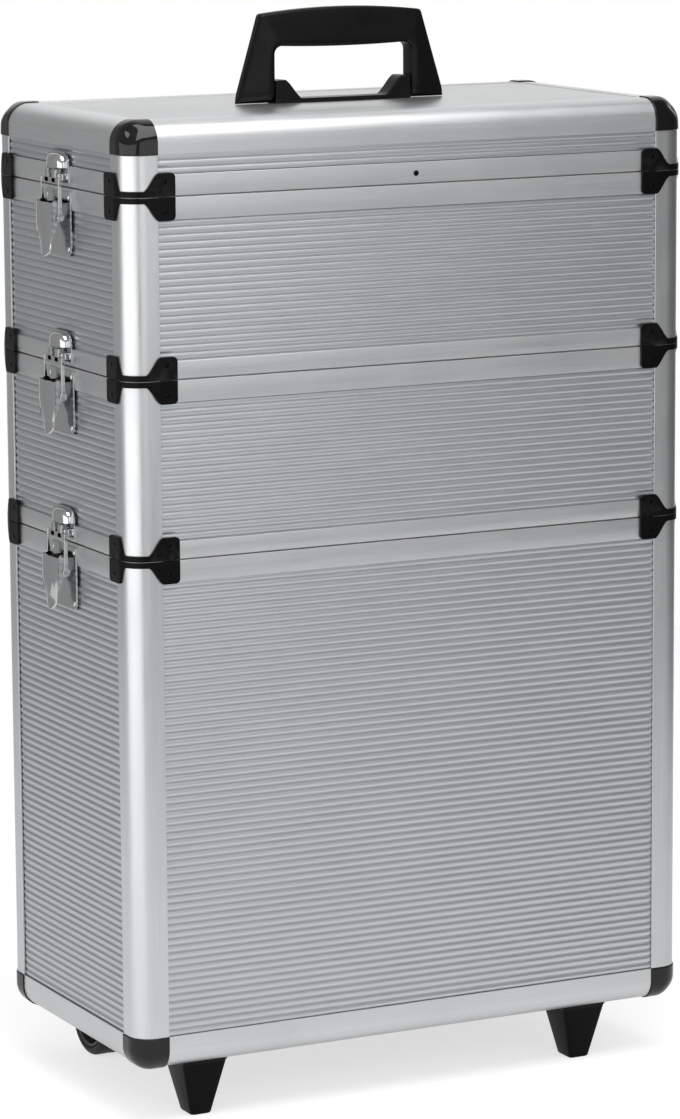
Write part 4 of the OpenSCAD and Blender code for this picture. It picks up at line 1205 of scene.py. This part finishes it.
# Webs from hub to rim: a waisted bar, repeated round the axis, and a thin disc between them.
def spokeParts(p):
    rFrom, rTo = p["hub"] - 1.6, p["tread"] - 2.8
    t = np.linspace(0, 1, 7)
    r = rFrom + (rTo - rFrom) * t
    half = p["spokeHalf"][0] + p["spokeHalf"][1] * (2 * t - 1) ** 2
    deep = p["spokeDeep"][0] - p["spokeDeep"][1] * np.sin(np.pi * t)
    corners = ((1, 1), (-1, 1), (-1, -1), (1, -1))
    points, quads, caps = tube(np.stack([np.stack([r, v * half, w * deep], -1) for v, w in corners], 1))
    disc = p["disc"]
    parts = [lathe(outline([rFrom, -disc], [rTo, -disc], [rTo, disc], [rFrom, disc]))]
    for a in 2 * np.pi * np.arange(p["spokes"]) / p["spokes"]:
        turn = np.array([[np.cos(a), -np.sin(a), 0], [np.sin(a), np.cos(a), 0], [0, 0, 1]])
        parts.append((points @ turn.T, quads, caps))
    return parts


tread = lathe(treadProfile(wheelShape), 72)
hub = together([lathe(rimProfile(wheelShape)), lathe(hubProfile(wheelShape), 32)] + spokeParts(wheelShape))
for side, s in (("left", -1), ("right", 1)):
    body = side + "_wheel"
    ring, web = (placed(part, wheelAt * (s, 1, 1), order=(2, 0, 1)) for part in (tread, hub))   # from Z to X
    makePiece(side + "WheelTread", ring, body, treadBlack, [body], smooth=40)
    makePiece(side + "WheelHub", web, body, wheelBlack, bevel=wheelShape["edge"], smooth=40)
print("feet and wheels made")


# Pull handle

pullShape = {
    "bar": 20,
    "leg": 30,
    "taper": 3,          # how far the legs draw in at their feet
    "round": 7,
    "gapRound": 6,
    "edge": 2.6,
    "buttonRound": 1.4,
}


# Front view of the grip, a bar on two legs with a rounded opening, carried front to back.
def pullGrip(p, low, high):
    x, bottom, top, r, q = high[0], low[2], high[2], p["round"], p["gapRound"]
    gap, under = x - p["leg"], top - p["bar"]
    outside = outline([x - p["taper"], bottom], arc(x - r, top - r, r, 0, 90, 8))
    inside = outline([gap, bottom], arc(gap - q, under - q, q, 0, 90, 7))
    section = np.concatenate([bothHalves(outside), bothHalves(inside)[::-1]])
    return prism(section, (0, low[1], 0), xAxis, zAxis, yAxis, high[1] - low[1])


grip = pullGrip(pullShape, lowOf("pull_grip"), highOf("pull_grip"))
makePiece("pullGrip", grip, "pull_handle", handleBlack, ["pull_grip"],
          bevel=pullShape["edge"], segments=4, smooth=45)
button = roundedBox(lowOf("pull_button"), highOf("pull_button"), pullShape["buttonRound"], 4)
makePiece("pullButton", button, "pull_button", buttonGrey, ["pull_button"], smooth=60)

for metal, nodes in (
    (metalZ, ("pull_outer_tubes", "pull_middle_tubes", "pull_inner_tubes")),
    (axleSteel, ("wheel_axles", "handle_pins")),
    (satinBlack, ("wheel_housings", "pull_brackets")),
    (boardBlack, ("upper_floor", "middle_floor", "lower_floor")),
):
    for node in nodes:
        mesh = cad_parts[node].data
        mesh.materials.clear()
        mesh.materials.append(metal)
print("pull handle made")


# Foam lining inside each case

liningShape = {"in": 5.6, "thick": 1.0, "clear": 0.3, "gap": 0.2, "round": 0.3}


# Four thin walls behind the panels, between the posts.
def liningWalls(low, high, p):
    outer, inner, cut = p["in"], p["in"] + p["thick"], profileShape["leg"] + p["clear"]
    x, y, back, r = -halfWidth, frontY, caseY + halfDepth, p["round"]
    wide = roundedBox((x + cut, y + outer, low), (-x - cut, y + inner, high), r, 1)
    narrow = roundedBox((x + outer, y + cut, low), (x + inner, back - cut, high), r, 1)
    return together([frontAndBack(wide), twoSides(narrow)])


for tier, (foot, head) in seamsOf.items():
    railHigh = railShape["lid" if tier == "lid" else "above"]
    low = baseLevel + profileShape["leg"] if foot is None else foot + railHigh
    high = topLevel - profileShape["lidLeg"] if head is None else head - railShape["below"]
    walls = liningWalls(low + liningShape["gap"], high - liningShape["gap"], liningShape)
    makePiece(tier + "Lining", walls, bodyOf(tier), liningFoam, smooth=60)
print("lining made")


# Studio: background, floor and lamps

studioShape = {
    "backdropAt": 26.75,   # azimuth of the backdrop's middle, from the back towards the right
    "white": 14,           # degrees to each side of it that stay white
    "dim": 42,             # degrees to each side of it where the room is reached
    "roomLeft": 0.46,      # what metal sees of the room on the left
    "roomRight": 0.14,
    "ambient": 0.50,       # what matt surfaces receive from the background
    "floorSize": 2.8,      # metres
    "floorColour": 0.48,
    "floorGlow": 0.66,     # the glow that the camera sees
    "floorShine": 0.47,    # the glow that metal sees
}
# Azimuth from the front towards the left, elevation, distance, width, height, power, height of its aim
lamps = {
    "keySoftbox": (70, 5, 1.9, 3.0, 1.3, 18.5, 0.35),
    "frontSoftbox": (-2, 12, 1.8, 1.25, 1.0, 5.2, 0.44),
    "topSoftbox": (14, 65, 1.45, 1.3, 1.2, 22, 0.42),
}


# 1 for rays that leave metal or glass, 0 for the rest.
def metalRays(tree, path):
    inputs = {0: path["Is Glossy Ray"], 1: path["Is Transmission Ray"]}
    return addNode(tree, "Math", inputs, operation="MAXIMUM")[0]


# The camera sees white on every side. Metal sees white where the backdrop stands, and the cosine of the
# angle from the backdrop's middle takes it down to a darker room, darker on the right than on the left.
# Matt surfaces get an even light.
def makeBackground(p):
    world = bpy.data.worlds.new("studio")
    bpy.context.scene.world = world
    world.use_nodes = True
    tree = world.node_tree
    turn, white, dim = (radians(p[key]) for key in ("backdropAt", "white", "dim"))
    direction = addNode(tree, "TexCoord")["Generated"]
    level = addNode(tree, "VectorMath", {0: direction, 1: (1, 1, 0)}, operation="MULTIPLY")[0]
    level = addNode(tree, "VectorMath", {0: level}, operation="NORMALIZE")[0]
    backdrop = (sin(turn), cos(turn), 0)
    cosine = addNode(tree, "VectorMath", {0: level, 1: backdrop}, operation="DOT_PRODUCT")["Value"]
    side = addNode(tree, "SeparateXYZ", {0: level})[0]
    room = addNode(tree, "MapRange", {
        "Value": side, "From Min": -1.0, "To Min": p["roomLeft"], "To Max": p["roomRight"]})[0]
    reflected = addNode(tree, "MapRange", {
        "Value": cosine, "From Min": cos(dim), "From Max": cos(white), "To Min": room,
    }, interpolation_type="SMOOTHSTEP")[0]
    path = addNode(tree, "LightPath")
    unseen = addNode(tree, "Mix", {0: metalRays(tree, path), 2: p["ambient"], 3: reflected})[0]
    strength = addNode(tree, "Mix", {0: path["Is Camera Ray"], 2: unseen, 3: 1.0})[0]
    background = tree.nodes["Background"]
    background.inputs["Color"].default_value = (1, 1, 1, 1)
    tree.links.new(strength, background.inputs["Strength"])


# A pale matt floor that keeps the shadow, with a glow for the camera and for metal that takes it to white.
def makeFloor(p):
    material = bpy.data.materials.new("paleFloor")
    material.use_nodes = True
    tree = material.node_tree
    tree.nodes.clear()
    path = addNode(tree, "LightPath")
    shine = addNode(tree, "Math", {0: metalRays(tree, path), 1: p["floorShine"]}, operation="MULTIPLY")[0]
    glow = addNode(tree, "Mix", {0: path["Is Camera Ray"], 2: shine, 3: p["floorGlow"]})[0]
    matt = addNode(tree, "BsdfDiffuse", {"Color": grey(p["floorColour"])})[0]
    light = addNode(tree, "Emission", {"Strength": glow})[0]
    both = addNode(tree, "AddShader", {0: matt, 1: light})[0]
    addNode(tree, "OutputMaterial", {"Surface": both})
    c = p["floorSize"] / 2
    mesh = bpy.data.meshes.new("studioFloor")
    mesh.from_pydata([(-c, -c, 0), (c, -c, 0), (c, c, 0), (-c, c, 0)], [], [(0, 1, 2, 3)])
    mesh.materials.append(material)
    floor = addObject("studioFloor", mesh)


# An area lamp at an azimuth, an elevation and a distance from its aim, which is on the case's middle line.
def softLamp(name, azimuth, elevation, distance, width, height, power, aimAt):
    a, e = radians(azimuth), radians(elevation)
    aim = Vector((0, caseY * mm, aimAt))
    place = aim + distance * Vector((-sin(a) * cos(e), -cos(a) * cos(e), sin(e)))
    data = bpy.data.lights.new(name, "AREA")
    data.shape = "RECTANGLE"
    data.size, data.size_y = width, height
    data.energy = power
    turn = (aim - place).to_track_quat("-Z", "Y").to_matrix().to_4x4()
    addObject(name, data).matrix_world = Matrix.Translation(place) @ turn


makeBackground(studioShape)
makeFloor(studioShape)
for name, values in lamps.items():
    softLamp(name, *values)
print("studio made")

bpy.context.scene.view_settings.view_transform = "Standard"
